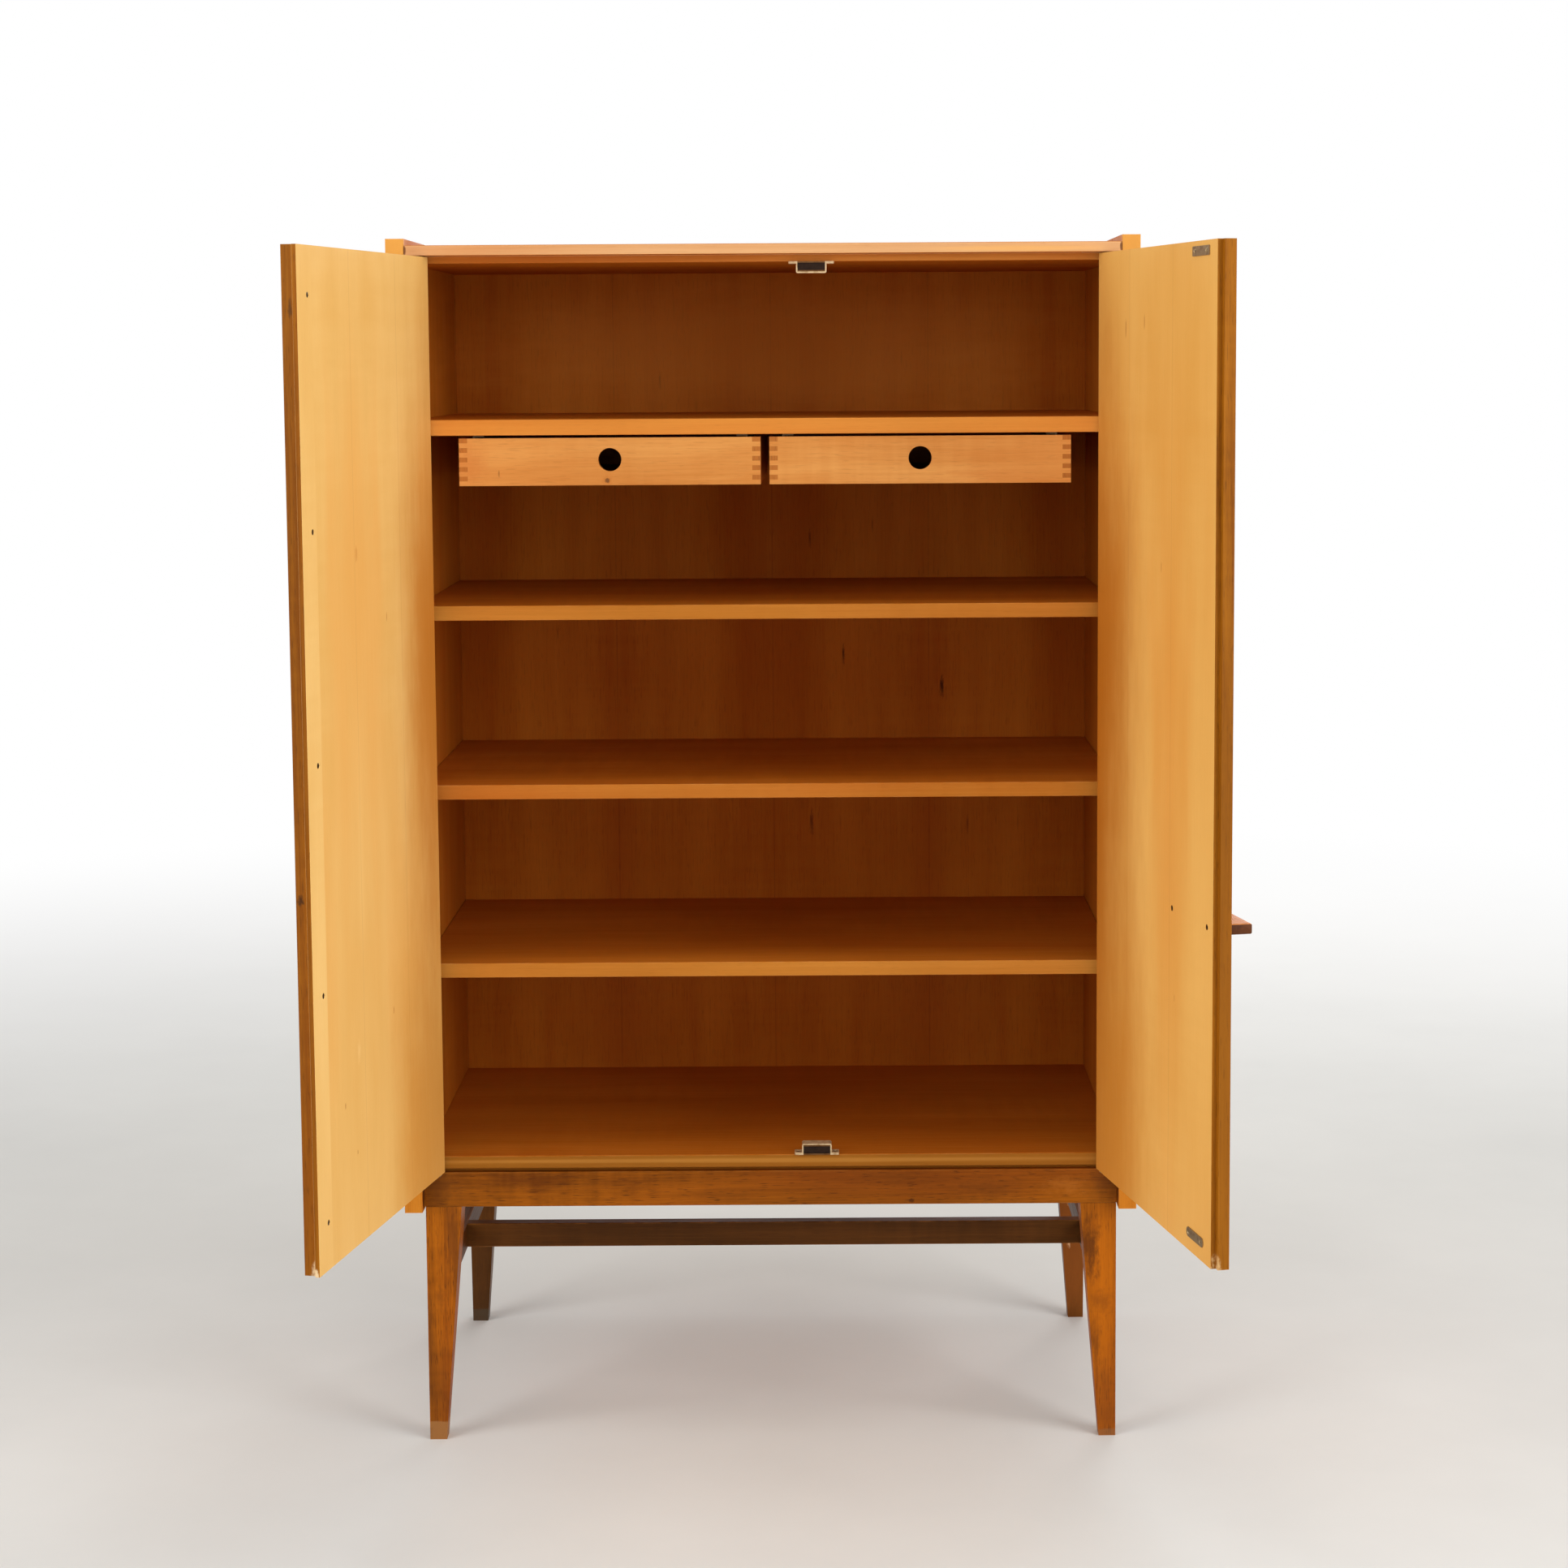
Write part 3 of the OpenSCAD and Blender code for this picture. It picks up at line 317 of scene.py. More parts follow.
# Finishes: light, dark, pore and blush tones, then how far the clouds, streaks, curl, fibres, flecks and
# blush change them. What a finish doesn't give is common to all.
toneSockets = ("Light", "Dark", "Pore", "Blush")
figureSockets = {
    "cloud": "Cloud", "streak": "Streak", "scale": "Streak Scale", "wander": "Wander", "curl": "Curl",
    "fibre": "Fibre", "fleck": "Fleck", "blushDepth": "Blush Depth",
}
commonFigure = {
    "cloud": 0.6, "streak": 0.5, "scale": 60, "wander": 0.03, "curl": 0.1, "fibre": 0.2, "fleck": 0.1,
    "blushDepth": 0.4,
}
finishes = {
    "leftInner": {
        "tones": ((244, 203, 128), (228, 178, 98), (176, 112, 48), (232, 166, 80)),
        "cloud": 0.8, "streak": 0.25, "scale": 8, "wander": 0.06, "curl": 0.12, "fibre": 0.05,
        "fleck": 0.05, "blushDepth": 0.55,
    },
    "rightInner": {
        "tones": ((242, 190, 106), (224, 162, 76), (170, 102, 40), (226, 148, 60)),
        "cloud": 0.8, "streak": 0.25, "scale": 8, "wander": 0.06, "curl": 0.12, "fibre": 0.05,
        "fleck": 0.05, "blushDepth": 0.55,
    },
    "innerBirch": {
        "tones": ((206, 124, 38), (178, 98, 22), (120, 62, 18), (190, 98, 28)),
        "streak": 0.45, "scale": 16, "wander": 0.04, "curl": 0.2, "fibre": 0.15, "fleck": 0.12,
    },
    "boardBack": {
        "tones": ((218, 132, 38), (186, 98, 20), (96, 46, 12), (176, 82, 20)),
        "streak": 0.6, "scale": 18, "wander": 0.06, "curl": 0.15, "fleck": 0.18, "blushDepth": 0.5,
    },
    "fixedEdge": {
        "tones": ((235, 155, 68), (216, 128, 48), (150, 76, 24), (222, 112, 42)),
        "blushDepth": 0.5,
    },
    "shelfEdge": {
        "tones": ((214, 142, 58), (188, 114, 36), (130, 68, 20), (200, 104, 36)),
        "blushDepth": 0.5,
    },
    # painted shade: the bottom board's front edge is written darker than the shelf edges, for light falling
    # off towards the bottom
    "bottomEdge": {
        "tones": ((172, 112, 36), (146, 88, 24), (100, 54, 14), (156, 88, 28)),
    },
    "maple": {
        "tones": ((238, 170, 92), (212, 132, 56), (156, 88, 36), (206, 112, 42)),
        "cloud": 0.85, "streak": 0.6, "scale": 34, "wander": 0.11, "curl": 0.2, "fibre": 0.22,
        "fleck": 0.16, "blushDepth": 0.7,
    },
    "fingerEnd": {
        "tones": ((202, 124, 52), (170, 98, 36), (110, 58, 20), (180, 98, 36)),
        "cloud": 0.5, "scale": 160, "wander": 0.01, "curl": 0.0, "fibre": 0.3, "fleck": 0.3,
        "blushDepth": 0.2,
    },
    "lip": {
        "tones": ((228, 178, 128), (210, 150, 94), (170, 110, 66), (210, 142, 104)),
        "cloud": 0.7, "scale": 70, "blushDepth": 0.5,
    },
    "topBand": {
        "tones": ((214, 140, 64), (186, 108, 36), (110, 56, 20), (176, 84, 34)),
        "scale": 70,
    },
    "outerBirch": {
        "tones": ((208, 142, 66), (178, 108, 36), (128, 70, 24), (200, 110, 44)),
        "streak": 0.6, "scale": 20, "wander": 0.07, "curl": 0.2, "fleck": 0.15,
    },
    "rearBoard": {
        "tones": ((204, 160, 104), (174, 126, 72), (120, 78, 40), (196, 132, 76)),
        "streak": 0.7, "scale": 16, "wander": 0.09, "curl": 0.15, "fibre": 0.25, "fleck": 0.25,
    },
    "sideFront": {
        "tones": ((204, 128, 38), (178, 100, 20), (124, 66, 18), (198, 108, 34)),
        "streak": 0.6, "scale": 40, "wander": 0.04, "curl": 0.15, "fleck": 0.12,
    },
    "doorEdge": {
        "tones": ((170, 104, 16), (128, 70, 5), (74, 38, 8), (166, 88, 18)),
        "cloud": 0.7, "streak": 0.8, "scale": 110, "curl": 0.15, "fibre": 0.35, "fleck": 0.35,
        "blushDepth": 0.3,
    },
    "doorOuter": {
        "tones": ((166, 106, 38), (118, 68, 18), (70, 36, 12), (160, 84, 32)),
        "cloud": 0.55, "streak": 0.9, "scale": 26, "wander": 0.12, "curl": 0.25, "fibre": 0.3,
        "fleck": 0.35, "blushDepth": 0.35,
    },
    "apronBrown": {
        "tones": ((166, 92, 12), (114, 60, 5), (56, 26, 6), (176, 84, 22)),
        "cloud": 0.9, "streak": 0.6, "scale": 40, "wander": 0.05, "curl": 0.42, "fibre": 0.55,
        "fleck": 0.6,
    },
    "legBrown": {
        "tones": ((178, 98, 12), (122, 62, 5), (62, 28, 6), (178, 84, 22)),
        "cloud": 0.85, "streak": 0.55, "curl": 0.35, "fibre": 0.6, "fleck": 0.65,
    },
    # painted shade: a darker copy of the leg stain, for the faces in the shade under the carcass
    "shadeBrown": {
        "tones": ((102, 60, 20), (70, 41, 12), (56, 30, 12), (128, 66, 24)),
        "cloud": 0.8, "streak": 0.6, "scale": 45, "wander": 0.04, "curl": 0.3, "fibre": 0.3,
        "fleck": 0.25, "blushDepth": 0.3,
    },
    # painted light: the handle's top face is a lighter copy of the teak, as lit from above
    "handleTop": {
        "tones": ((224, 142, 44), (198, 112, 26), (120, 64, 28), (200, 112, 60)),
        "cloud": 0.5, "streak": 0.9, "scale": 90, "fibre": 0.3, "fleck": 0.3, "blushDepth": 0.3,
    },
    "handleTeak": {
        "tones": ((94, 52, 24), (58, 31, 14), (44, 22, 10), (110, 60, 32)),
        "cloud": 0.5, "streak": 0.9, "scale": 90, "fibre": 0.35, "fleck": 0.35, "blushDepth": 0.3,
    },
}


# What holds for every board: how far its pattern shifts for each seed and where the shift starts again,
# along each axis, and how squarely a face has to look along an axis to count as facing it
boardValues = {
    "shifts": ((1.37, 5), (2.11, 7), (0.73, 3)), "zoneSeed": 3, "facing": 0.72,
    "sheenSpan": (0.38, 0.62), "reliefDepth": 0.0006,
}


# Puts the grain axis first and shifts the pattern, so that no two boards look alike
def grainSpace(tree, vector, grain, seed, leaf=0.0):
    parts = split(tree, vector)
    order = {"x": (0, 1, 2), "y": (1, 0, 2), "z": (2, 0, 1), "zy": (2, 1, 0)}[grain]
    space = joined(tree, *(parts[k] for k in order))
    leaves = None
    if leaf:
        leaves = placeGroup(tree, leafGroup, {"Vector": space, "Leaf Width": leaf})
        space = leaves["Vector"]
    offset = [seed * step % wrap for step, wrap in boardValues["shifts"]]
    return vector2(tree, "ADD", space, offset), leaves


def timberLook(tree, finish, vector, grain, seed, leaf=0.0):
    look = {**commonFigure, **finishes[finish]}
    tones = dict(zip(toneSockets, [tone(*colour) for colour in look["tones"]]))
    figure = {socket: look[label] for label, socket in figureSockets.items()}
    space, leaves = grainSpace(tree, vector, grain, seed, leaf)
    timber = placeGroup(tree, timberGroup, {"Vector": space, **tones, **figure})
    colour = timber["Color"]
    if leaves:
        shade = math2(tree, "MULTIPLY", leaves["Shade"], leafValues["shadeDepth"])
        colour = blendColour(tree, shade, colour, tones["Dark"])
        joint = math2(tree, "MULTIPLY", leaves["Joint"], leafValues["jointDepth"])
        colour = blendColour(tree, joint, colour, tones["Pore"])
    return colour, timber["Height"], timber["Polish"]


def newMaterial(name):
    material = bpy.data.materials.new(name)
    material.use_nodes = True
    return material, material.node_tree, material.node_tree.nodes["Principled BSDF"]


# A face of a board that has its own finish: within keeps it to a range of one axis
def zone(axis, sign, finish, grain, within=None, leaf=0.0):
    return {"axis": axis, "sign": sign, "finish": finish, "grain": grain, "within": within,
            "leaf": leaf}


def spot(place, reach, colour, depth=1.0, ragged=0.5, core=0.5):
    return {"place": place, "reach": reach, "colour": colour, "depth": depth, "ragged": ragged,
            "core": core}


# Spots on a face that looks along Y: place across and up, half width and height, then as for spot
def faceSpots(y, reach, rows):
    return [spot((x, y, z), (width, reach, height), *rest) for x, z, width, height, *rest in rows]


def zoneMask(tree, facing, position, face):
    along = facing["xyz".index(face["axis"])]
    if face["sign"] == 0:
        along = math2(tree, "ABSOLUTE", along)
    elif face["sign"] < 0:
        along = math2(tree, "MULTIPLY", along, -1.0)
    mask = math2(tree, "GREATER_THAN", along, boardValues["facing"])
    if face["within"]:
        axis, low, high = face["within"]
        place = position["xyz".index(axis)]
        mask = math2(tree, "MULTIPLY", mask, math2(tree, "GREATER_THAN", place, low))
        mask = math2(tree, "MULTIPLY", mask, math2(tree, "LESS_THAN", place, high))
    return mask


def objectSpace(tree):
    coordinate = put(tree, "ShaderNodeTexCoord").outputs
    return coordinate["Object"], coordinate["Normal"]


# Wear is its width, tone and depth
def boardMaterial(name, base, grain, seed, zones=(), spots=(), *, polish, shine, space=objectSpace,
                  box=None, wear=(0.0015, (230, 170, 100), 0.25), leaf=0.0, bump=0.22):
    material, tree, shader = newMaterial(name)
    vector, normal = space(tree)
    colour, height, sheen = timberLook(tree, base, vector, grain, seed, leaf)
    facing, position = split(tree, normal), split(tree, vector)
    for n, face in enumerate(zones):
        mask = zoneMask(tree, facing, position, face)
        other = timberLook(tree, face["finish"], vector, face["grain"],
                           seed + boardValues["zoneSeed"] + n, face["leaf"])
        colour = blendColour(tree, mask, colour, other[0])
        height = blendValue(tree, mask, height, other[1])
        sheen = blendValue(tree, mask, sheen, other[2])
    if box:
        width, tint, depth = wear
        rubbed = placeGroup(tree, arrisGroup, {
            "Vector": vector, "Low": box[0], "High": box[1], "Width": width})["Mask"]
        colour = blendColour(tree, math2(tree, "MULTIPLY", rubbed, depth), colour, tone(*tint))
    for mark in spots:
        mask = placeGroup(tree, spotGroup, {
            "Vector": vector, "Place": mark["place"], "Reach": mark["reach"], "Ragged": mark["ragged"],
            "Core": mark["core"]})["Mask"]
        depth = math2(tree, "MULTIPLY", mask, mark["depth"])
        colour = blendColour(tree, depth, colour, tone(*mark["colour"]))
    tree.links.new(colour, shader.inputs["Base Color"])
    tree.links.new(remap(tree, sheen, boardValues["sheenSpan"], polish), shader.inputs["Roughness"])
    addRelief(tree, shader, height, bump, boardValues["reliefDepth"])
    shader.inputs["Specular IOR Level"].default_value = shine
    return material


def dress(name, material):
    mesh = nodes[name].data
    mesh.materials.clear()
    mesh.materials.append(material)


# A board whose arrises are worn, within the box it has at rest
def dressBoard(name, materialName, base, grain, seed, zones=(), spots=(), **look):
    low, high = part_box(name)
    box = (tuple(low), tuple(high))
    dress(name, boardMaterial(materialName, base, grain, seed, zones, spots, box=box, **look))


# Carcass: honey birch inside and out, solid edges, upright grain on the sides and the back
carcassValues = {
    "shine": 0.06,
    "polish": (0.46, 0.6),
    "sides": {"side_panel_left": (1, -1), "side_panel_right": (2, 1)},  # seed, way out
    "shelves": {"shelf_upper": 6, "shelf_middle": 7, "shelf_lower": 8},  # seeds
    "topSeed": 3, "bottomSeed": 4, "fixedSeed": 5, "backSeed": 9,
    "sideLeaf": 0.15, "topLeaf": 0.17, "backLeaf": 0.19,
    "lipSpan": (1.3015, 1.4),
    "topSpots": faceSpots(-0.2225, 0.004, [
        (-0.3795, 1.3075, 0.002, 0.006, (96, 50, 24), 0.8, 0.2, 0.5),
        (0.3795, 1.3075, 0.002, 0.006, (96, 50, 24), 0.8, 0.2, 0.5),
        (0.27, 1.306, 0.13, 0.0045, (240, 182, 100), 0.55, 0.3, 0.2),
    ]),
    # painted highlight: a pale line along the rounded front edge of the bottom board
    "bottomSpots": [spot((0, -0.2, 0.3145), (0.6, 0.004, 0.0036), (206, 146, 66), 0.45, 0.35, 0.3)],
    "backSpots": faceSpots(0.205, 0.003, [
        (x, z, width, height, (60, 22, 4), depth, 0.9, 0.2) for x, z, width, height, depth in (
            (0.086, 0.832, 0.0022, 0.016, 0.75), (0.206, 0.792, 0.0034, 0.017, 0.85),
            (0.046, 0.625, 0.003, 0.020, 0.6), (0.237, 0.622, 0.0018, 0.014, 0.4),
            (-0.134, 1.166, 0.002, 0.013, 0.45), (0.046, 0.974, 0.0022, 0.015, 0.5),
            (0.122, 0.99, 0.0014, 0.012, 0.35), (-0.262, 0.861, 0.0014, 0.010, 0.3),
            (0.158, 1.19, 0.0016, 0.011, 0.3),
        )
    # painted light: a lighter band across the back panel in the top bay
    ]) + [spot((0, 0.205, 1.2), (0.44, 0.004, 0.11), (240, 158, 66), 0.45, 0.3, 0.3)],
    "sideSpots": [  # on the right side, mirrored on the left one; the first and the third are painted shade
        # painted shade in the gap between the side panel's front strip and the apron
        spot((0.3805, -0.211, 0.283), (0.002, 0.0105, 0.021), (52, 16, 4), 0.9, 0.1, 0.85),
        spot((0.39, -0.2225, 1.31), (0.03, 0.012, 0.04), (238, 172, 84), 0.7, 0.2, 0.4),
        # painted shadow of the open door on the inner face, low at the front
        spot((0.3805, -0.13, 0.45), (0.006, 0.16, 0.30), (108, 46, 4), 0.75, 0.3, 0.1),
    ],
}
inside = {"shine": carcassValues["shine"], "polish": carcassValues["polish"]}


def mirrored(mark, out):
    x, y, z = mark["place"]
    return {**mark, "place": (out * x, y, z)}


def dressCarcass(values):
    for name, (seed, out) in values["sides"].items():
        zones = [zone("x", out, "outerBirch", "zy", leaf=values["sideLeaf"]),
                 zone("y", -1, "sideFront", "z"), zone("y", 1, "outerBirch", "z"),
                 zone("z", 1, "outerBirch", "y")]
        marks = [mirrored(mark, out) for mark in values["sideSpots"]]
        dressBoard(name, name, "innerBirch", "zy", seed, zones, marks, **inside)
    zones = [zone("z", 1, "outerBirch", "x", leaf=values["topLeaf"]), zone("y", -1, "topBand", "x"),
             zone("y", -1, "lip", "x", ("z", *values["lipSpan"]))]
    dressBoard("top_panel", "topPanel", "innerBirch", "x", values["topSeed"], zones,
               values["topSpots"], **inside)
    dressBoard("bottom_panel", "bottomPanel", "innerBirch", "x", values["bottomSeed"],
               [zone("y", -1, "bottomEdge", "x")], values["bottomSpots"], **inside)
    dressBoard("fixed_shelf", "fixedShelf", "innerBirch", "x", values["fixedSeed"],
               [zone("y", -1, "fixedEdge", "x")], **inside)
    for name, seed in values["shelves"].items():
        dressBoard(name, name, "innerBirch", "x", seed, [zone("y", -1, "shelfEdge", "x")], **inside)
    dress("back_panel", boardMaterial(
        "backPanel", "boardBack", "z", values["backSeed"], [zone("y", 1, "rearBoard", "z")],
        values["backSpots"], leaf=values["backLeaf"], **inside))


dressCarcass(carcassValues)
print("carcass dressed")

# Doors: their patterns are made in the closed position and swing with the mesh
doorValues = {
    "left_door": {"inner": "leftInner", "seed": 11, "angle": 101.3, "pivot": (-0.3672, -0.21295, 0.0),
                  "low": (-0.3787, -0.2216, 0.3053), "high": (-0.00075, -0.2043, 1.301)},
    "right_door": {"inner": "rightInner", "seed": 12, "angle": -102.2, "pivot": (0.3672, -0.21295, 0.0),
                   "low": (0.00075, -0.2216, 0.3053), "high": (0.3787, -0.2043, 1.301)},
}
doorLook = {"leaf": 0.135, "polish": (0.46, 0.6), "shine": 0.1, "wear": (0.0016, (198, 138, 66), 0.1),
            "faceDepth": 0.0004, "stripSeed": 13}


def closedSpace(door):
    def make(tree):
        turn = math.radians(door["angle"])
        vector, normal = objectSpace(tree)
        return [put(tree, "ShaderNodeVectorRotate", {"Vector": given, "Center": centre, "Angle": turn},
                    rotation_type="Z_AXIS").outputs[0]
                for given, centre in ((vector, door["pivot"]), (normal, (0, 0, 0)))]
    return make


# A direction or a place on a closed door, swung to where the door stands at rest
def turned(door, x, y):
    turn = math.radians(-door["angle"])
    return (x * math.cos(turn) - y * math.sin(turn), x * math.sin(turn) + y * math.cos(turn))


def swung(door, x, y):
    across, back = door["pivot"][:2]
    dx, dy = turned(door, x - across, y - back)
    return across + dx, back + dy


doorMarksAndPaintedShade = {
    # painted shade: the first two spots on each door darken its inner face towards the hinge
    "left_door": faceSpots(-0.2043, 0.01, [
        (-0.33, 0.36, 0.16, 0.34, (204, 136, 50), 0.7, 0.3, 0.1),
        (-0.37, 0.86, 0.14, 0.46, (198, 120, 34), 0.85, 0.3, 0.1),
    ]) + [
        spot((-0.001, -0.213, 1.24), (0.004, 0.003, 0.012), (70, 44, 20), 0.7, 0.6, 0.2),
        spot((-0.001, -0.2165, 0.675), (0.004, 0.005, 0.007), (60, 34, 14), 0.85, 0.6, 0.2),
        spot((0.0, -0.2090, 0.309), (0.004, 0.0052, 0.0135), (226, 196, 154), 0.85, 1.0, 0.3),
        spot((0.0, -0.2078, 0.308), (0.004, 0.0016, 0.006), (128, 102, 76), 0.7, 0.8, 0.3),
    ] + faceSpots(-0.2043, 0.003, [
        (-0.14, 1.0, 0.004, 0.010, (206, 138, 66), 0.5),
        (-0.0765, 0.455, 0.0016, 0.004, (176, 106, 44), 0.7),
        (-0.222, 0.52, 0.0016, 0.005, (176, 106, 44), 0.6),
        (-0.108, 0.40, 0.0013, 0.003, (160, 92, 38), 0.7),
        (-0.118, 0.50, 0.006, 0.016, (246, 206, 136), 0.5, 0.8, 0.1),
        (-0.225, 0.93, 0.0014, 0.006, (186, 116, 50), 0.6),
    ]),
    "right_door": faceSpots(-0.2043, 0.01, [
        (0.34, 0.36, 0.20, 0.50, (202, 124, 34), 0.75, 0.3, 0.1),
        (0.37, 0.85, 0.18, 0.50, (190, 108, 20), 0.85, 0.3, 0.1),
    ]) + faceSpots(-0.2043, 0.003, [
        (0.282, 1.220, 0.0015, 0.012, (170, 96, 40), 0.8),
        (0.222, 1.226, 0.0014, 0.010, (176, 102, 44), 0.75),
        (0.165, 0.98, 0.0014, 0.007, (182, 106, 40), 0.55),
        (0.118, 0.55, 0.0013, 0.005, (182, 106, 40), 0.5),
    ]) + [
        spot((0.002, -0.2075, 0.309), (0.007, 0.0055, 0.013), (226, 186, 128), 0.75, 1.0, 0.3),
        # painted shade: a darker band down the hinge side of the right door
        spot((0.374, -0.2043, 0.62), (0.05, 0.01, 0.34), (188, 108, 26), 0.5, 0.3, 0.1),
        spot((0.0, -0.213, 0.62), (0.007, 0.02, 0.42), (124, 72, 12), 0.55, 0.3, 0.2),
    ],
    "closing_strip": [spot((0.00325, -0.2085, 0.308), (0.006, 0.004, 0.006), (236, 206, 160), 0.9)],
}


def dressDoors(look):
    for name, door in doorValues.items():
        face = ("y", door["high"][1] - look["faceDepth"], 1.0)
        zones = [zone("y", 1, door["inner"], "z", face, look["leaf"]),
                 zone("y", -1, "doorOuter", "z", leaf=look["leaf"])]
        dress(name, boardMaterial(
            name, "doorEdge", "z", door["seed"], zones, doorMarksAndPaintedShade[name], space=closedSpace(door),
            box=(door["low"], door["high"]), polish=look["polish"], shine=look["shine"],
            wear=look["wear"]))
    dress("closing_strip", boardMaterial(
        "closingStrip", "leftInner", "z", look["stripSeed"], [zone("x", 1, "doorEdge", "z")],
        doorMarksAndPaintedShade["closing_strip"], space=closedSpace(doorValues["left_door"]),
        polish=look["polish"], shine=look["shine"]))


dressDoors(doorLook)
print("doors dressed")

# Handle: a tongue with eased ends, and a finger groove underneath that stops short of them
handleValues = {
    "left": 0.00525, "right": 0.14525,  # its ends, with the door closed
    "front": -0.2441, "face": -0.2216, "low": 0.635, "high": 0.645,
    "ease": 0.0016, "endEase": 0.0012, "firstEase": 0.3,
    "groovePlace": 0.007, "grooveRadius": 0.005, "grooveBelow": 0.00167, "grooveStop": 0.012,
    "stations": 28, "cornerSteps": 5, "underSteps": 15, "sharpAngle": 38,
    "polish": (0.46, 0.58), "shine": 0.12, "seed": 14,
}


def handleSection(values, inset, groove):
    front, face = values["front"] + inset, values["face"]
    low, high, r = values["low"] + inset, values["high"] - inset, values["ease"]
    corner, under = values["cornerSteps"], values["underSteps"]
    points = [(face, high)]
    for centre, start in (((front + r, high - r), 90), ((front + r, low + r), 180)):
        for n in range(corner + 1):
            a = math.radians(start + 90 * n / corner)
            points.append((centre[0] + r * math.cos(a), centre[1] + r * math.sin(a)))
    for n in range(under):
        y = front + r + (face - front - r) * (n + 1) / under
        across = y - face + values["groovePlace"]
        arc = values["grooveRadius"] ** 2 - across ** 2
        rise = max(0.0, math.sqrt(arc) - values["grooveBelow"]) if arc > 0 else 0.0
        points.append((y, low + rise * groove))
    return points


def handleStations(values):
    left, right, ease = values["left"], values["right"], values["endEase"]
    first = ease * values["firstEase"]
    span = (right - left - 2 * ease) / values["stations"]
    places = [(left, ease), (left + first, first)]
    places += [(left + ease + span * n, 0.0) for n in range(values["stations"] + 1)]
    return places + [(right - first, first), (right, ease)]


def finishShape(shape, name):
    mesh = bpy.data.meshes.new(name)
    bmesh.ops.recalc_face_normals(shape, faces=shape.faces)
    shape.to_mesh(mesh)
    shape.free()
    return mesh


def easeNormals(mesh, angle):
    mesh.shade_smooth()
    mesh.set_sharp_from_angle(angle=math.radians(angle))


def makeHandle(values, door, material):
    left, right, stop = values["left"], values["right"], values["grooveStop"]
    rings = []
    shape = bmesh.new()
    for x, inset in handleStations(values):
        depth = min(1.0, max(0.0, (min(x - left, right - x) - stop * 0.5) / stop))
        groove = depth * depth * (3 - 2 * depth)
        section = handleSection(values, inset, groove)
        rings.append([shape.verts.new((*swung(door, x, y), z)) for y, z in section])
    for a, b in zip(rings, rings[1:]):
        for n in range(len(a)):
            m = (n + 1) % len(a)
            shape.faces.new((a[n], a[m], b[m], b[n]))
    shape.faces.new(rings[0])
    shape.faces.new(list(reversed(rings[-1])))
    mesh = finishShape(shape, "handleTongue")
    easeNormals(mesh, values["sharpAngle"])
    mesh.materials.append(material)
    handle = placed("handleTongue", mesh)
    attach(handle, body_of(nodes["handle"])[0])
    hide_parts("handle")


handleTeak = boardMaterial(
    "handle", "handleTeak", "x", handleValues["seed"], [zone("z", 1, "handleTop", "x")],
    space=closedSpace(doorValues["right_door"]), polish=handleValues["polish"],
    shine=handleValues["shine"])
makeHandle(handleValues, doorValues["right_door"], handleTeak)
print("handle made")

# Drawers: pale maple, end grain on the fingers
drawerValues = {
    "polish": (0.4, 0.54), "shine": 0.16, "wear": (0.0011, (176, 104, 44), 0.35),
    "seeds": {"left": 20, "right": 30},
    "pieces": (("front", "x", 0), ("back", "x", 1), ("side_left", "y", 2), ("side_right", "y", 3)),
    "bottomSeed": 4,
    "marks": {
        "left": [
            spot((-0.318, -0.1985, 1.08), (0.03, 0.004, 0.03), (214, 128, 58), 0.5, 0.5, 0.1),
        ] + faceSpots(-0.1985, 0.003, [
            (-0.1695, 1.062, 0.0065, 0.006, (204, 124, 54), 0.6, 0.6, 0.3),
            (-0.1695, 1.062, 0.0032, 0.0032, (120, 76, 40), 0.85, 0.4, 0.5),  # nail
            (-0.286, 1.070, 0.0012, 0.005, (150, 90, 40), 0.6, 0.4, 0.3),
        ]),
        "right": [spot((0.24, -0.1985, 1.066), (0.07, 0.004, 0.010), (218, 138, 66), 0.45, 1.0, 0.05)],
    },
}


def dressDrawers(values):
    for side, seed in values["seeds"].items():
        for piece, grain, step in values["pieces"]:
            name = side + "_drawer_" + piece
            fingers = zone(grain, 0, "fingerEnd", "z")
            marks = values["marks"][side] if piece == "front" else ()
            dressBoard(name, name, "maple", grain, seed + step, [fingers], marks,
                       polish=values["polish"], shine=values["shine"], wear=values["wear"])
        dress(side + "_drawer_bottom", boardMaterial(
            side + "DrawerBottom", "innerBirch", "y", seed + values["bottomSeed"], **inside))


dressDrawers(drawerValues)
print("drawers dressed")
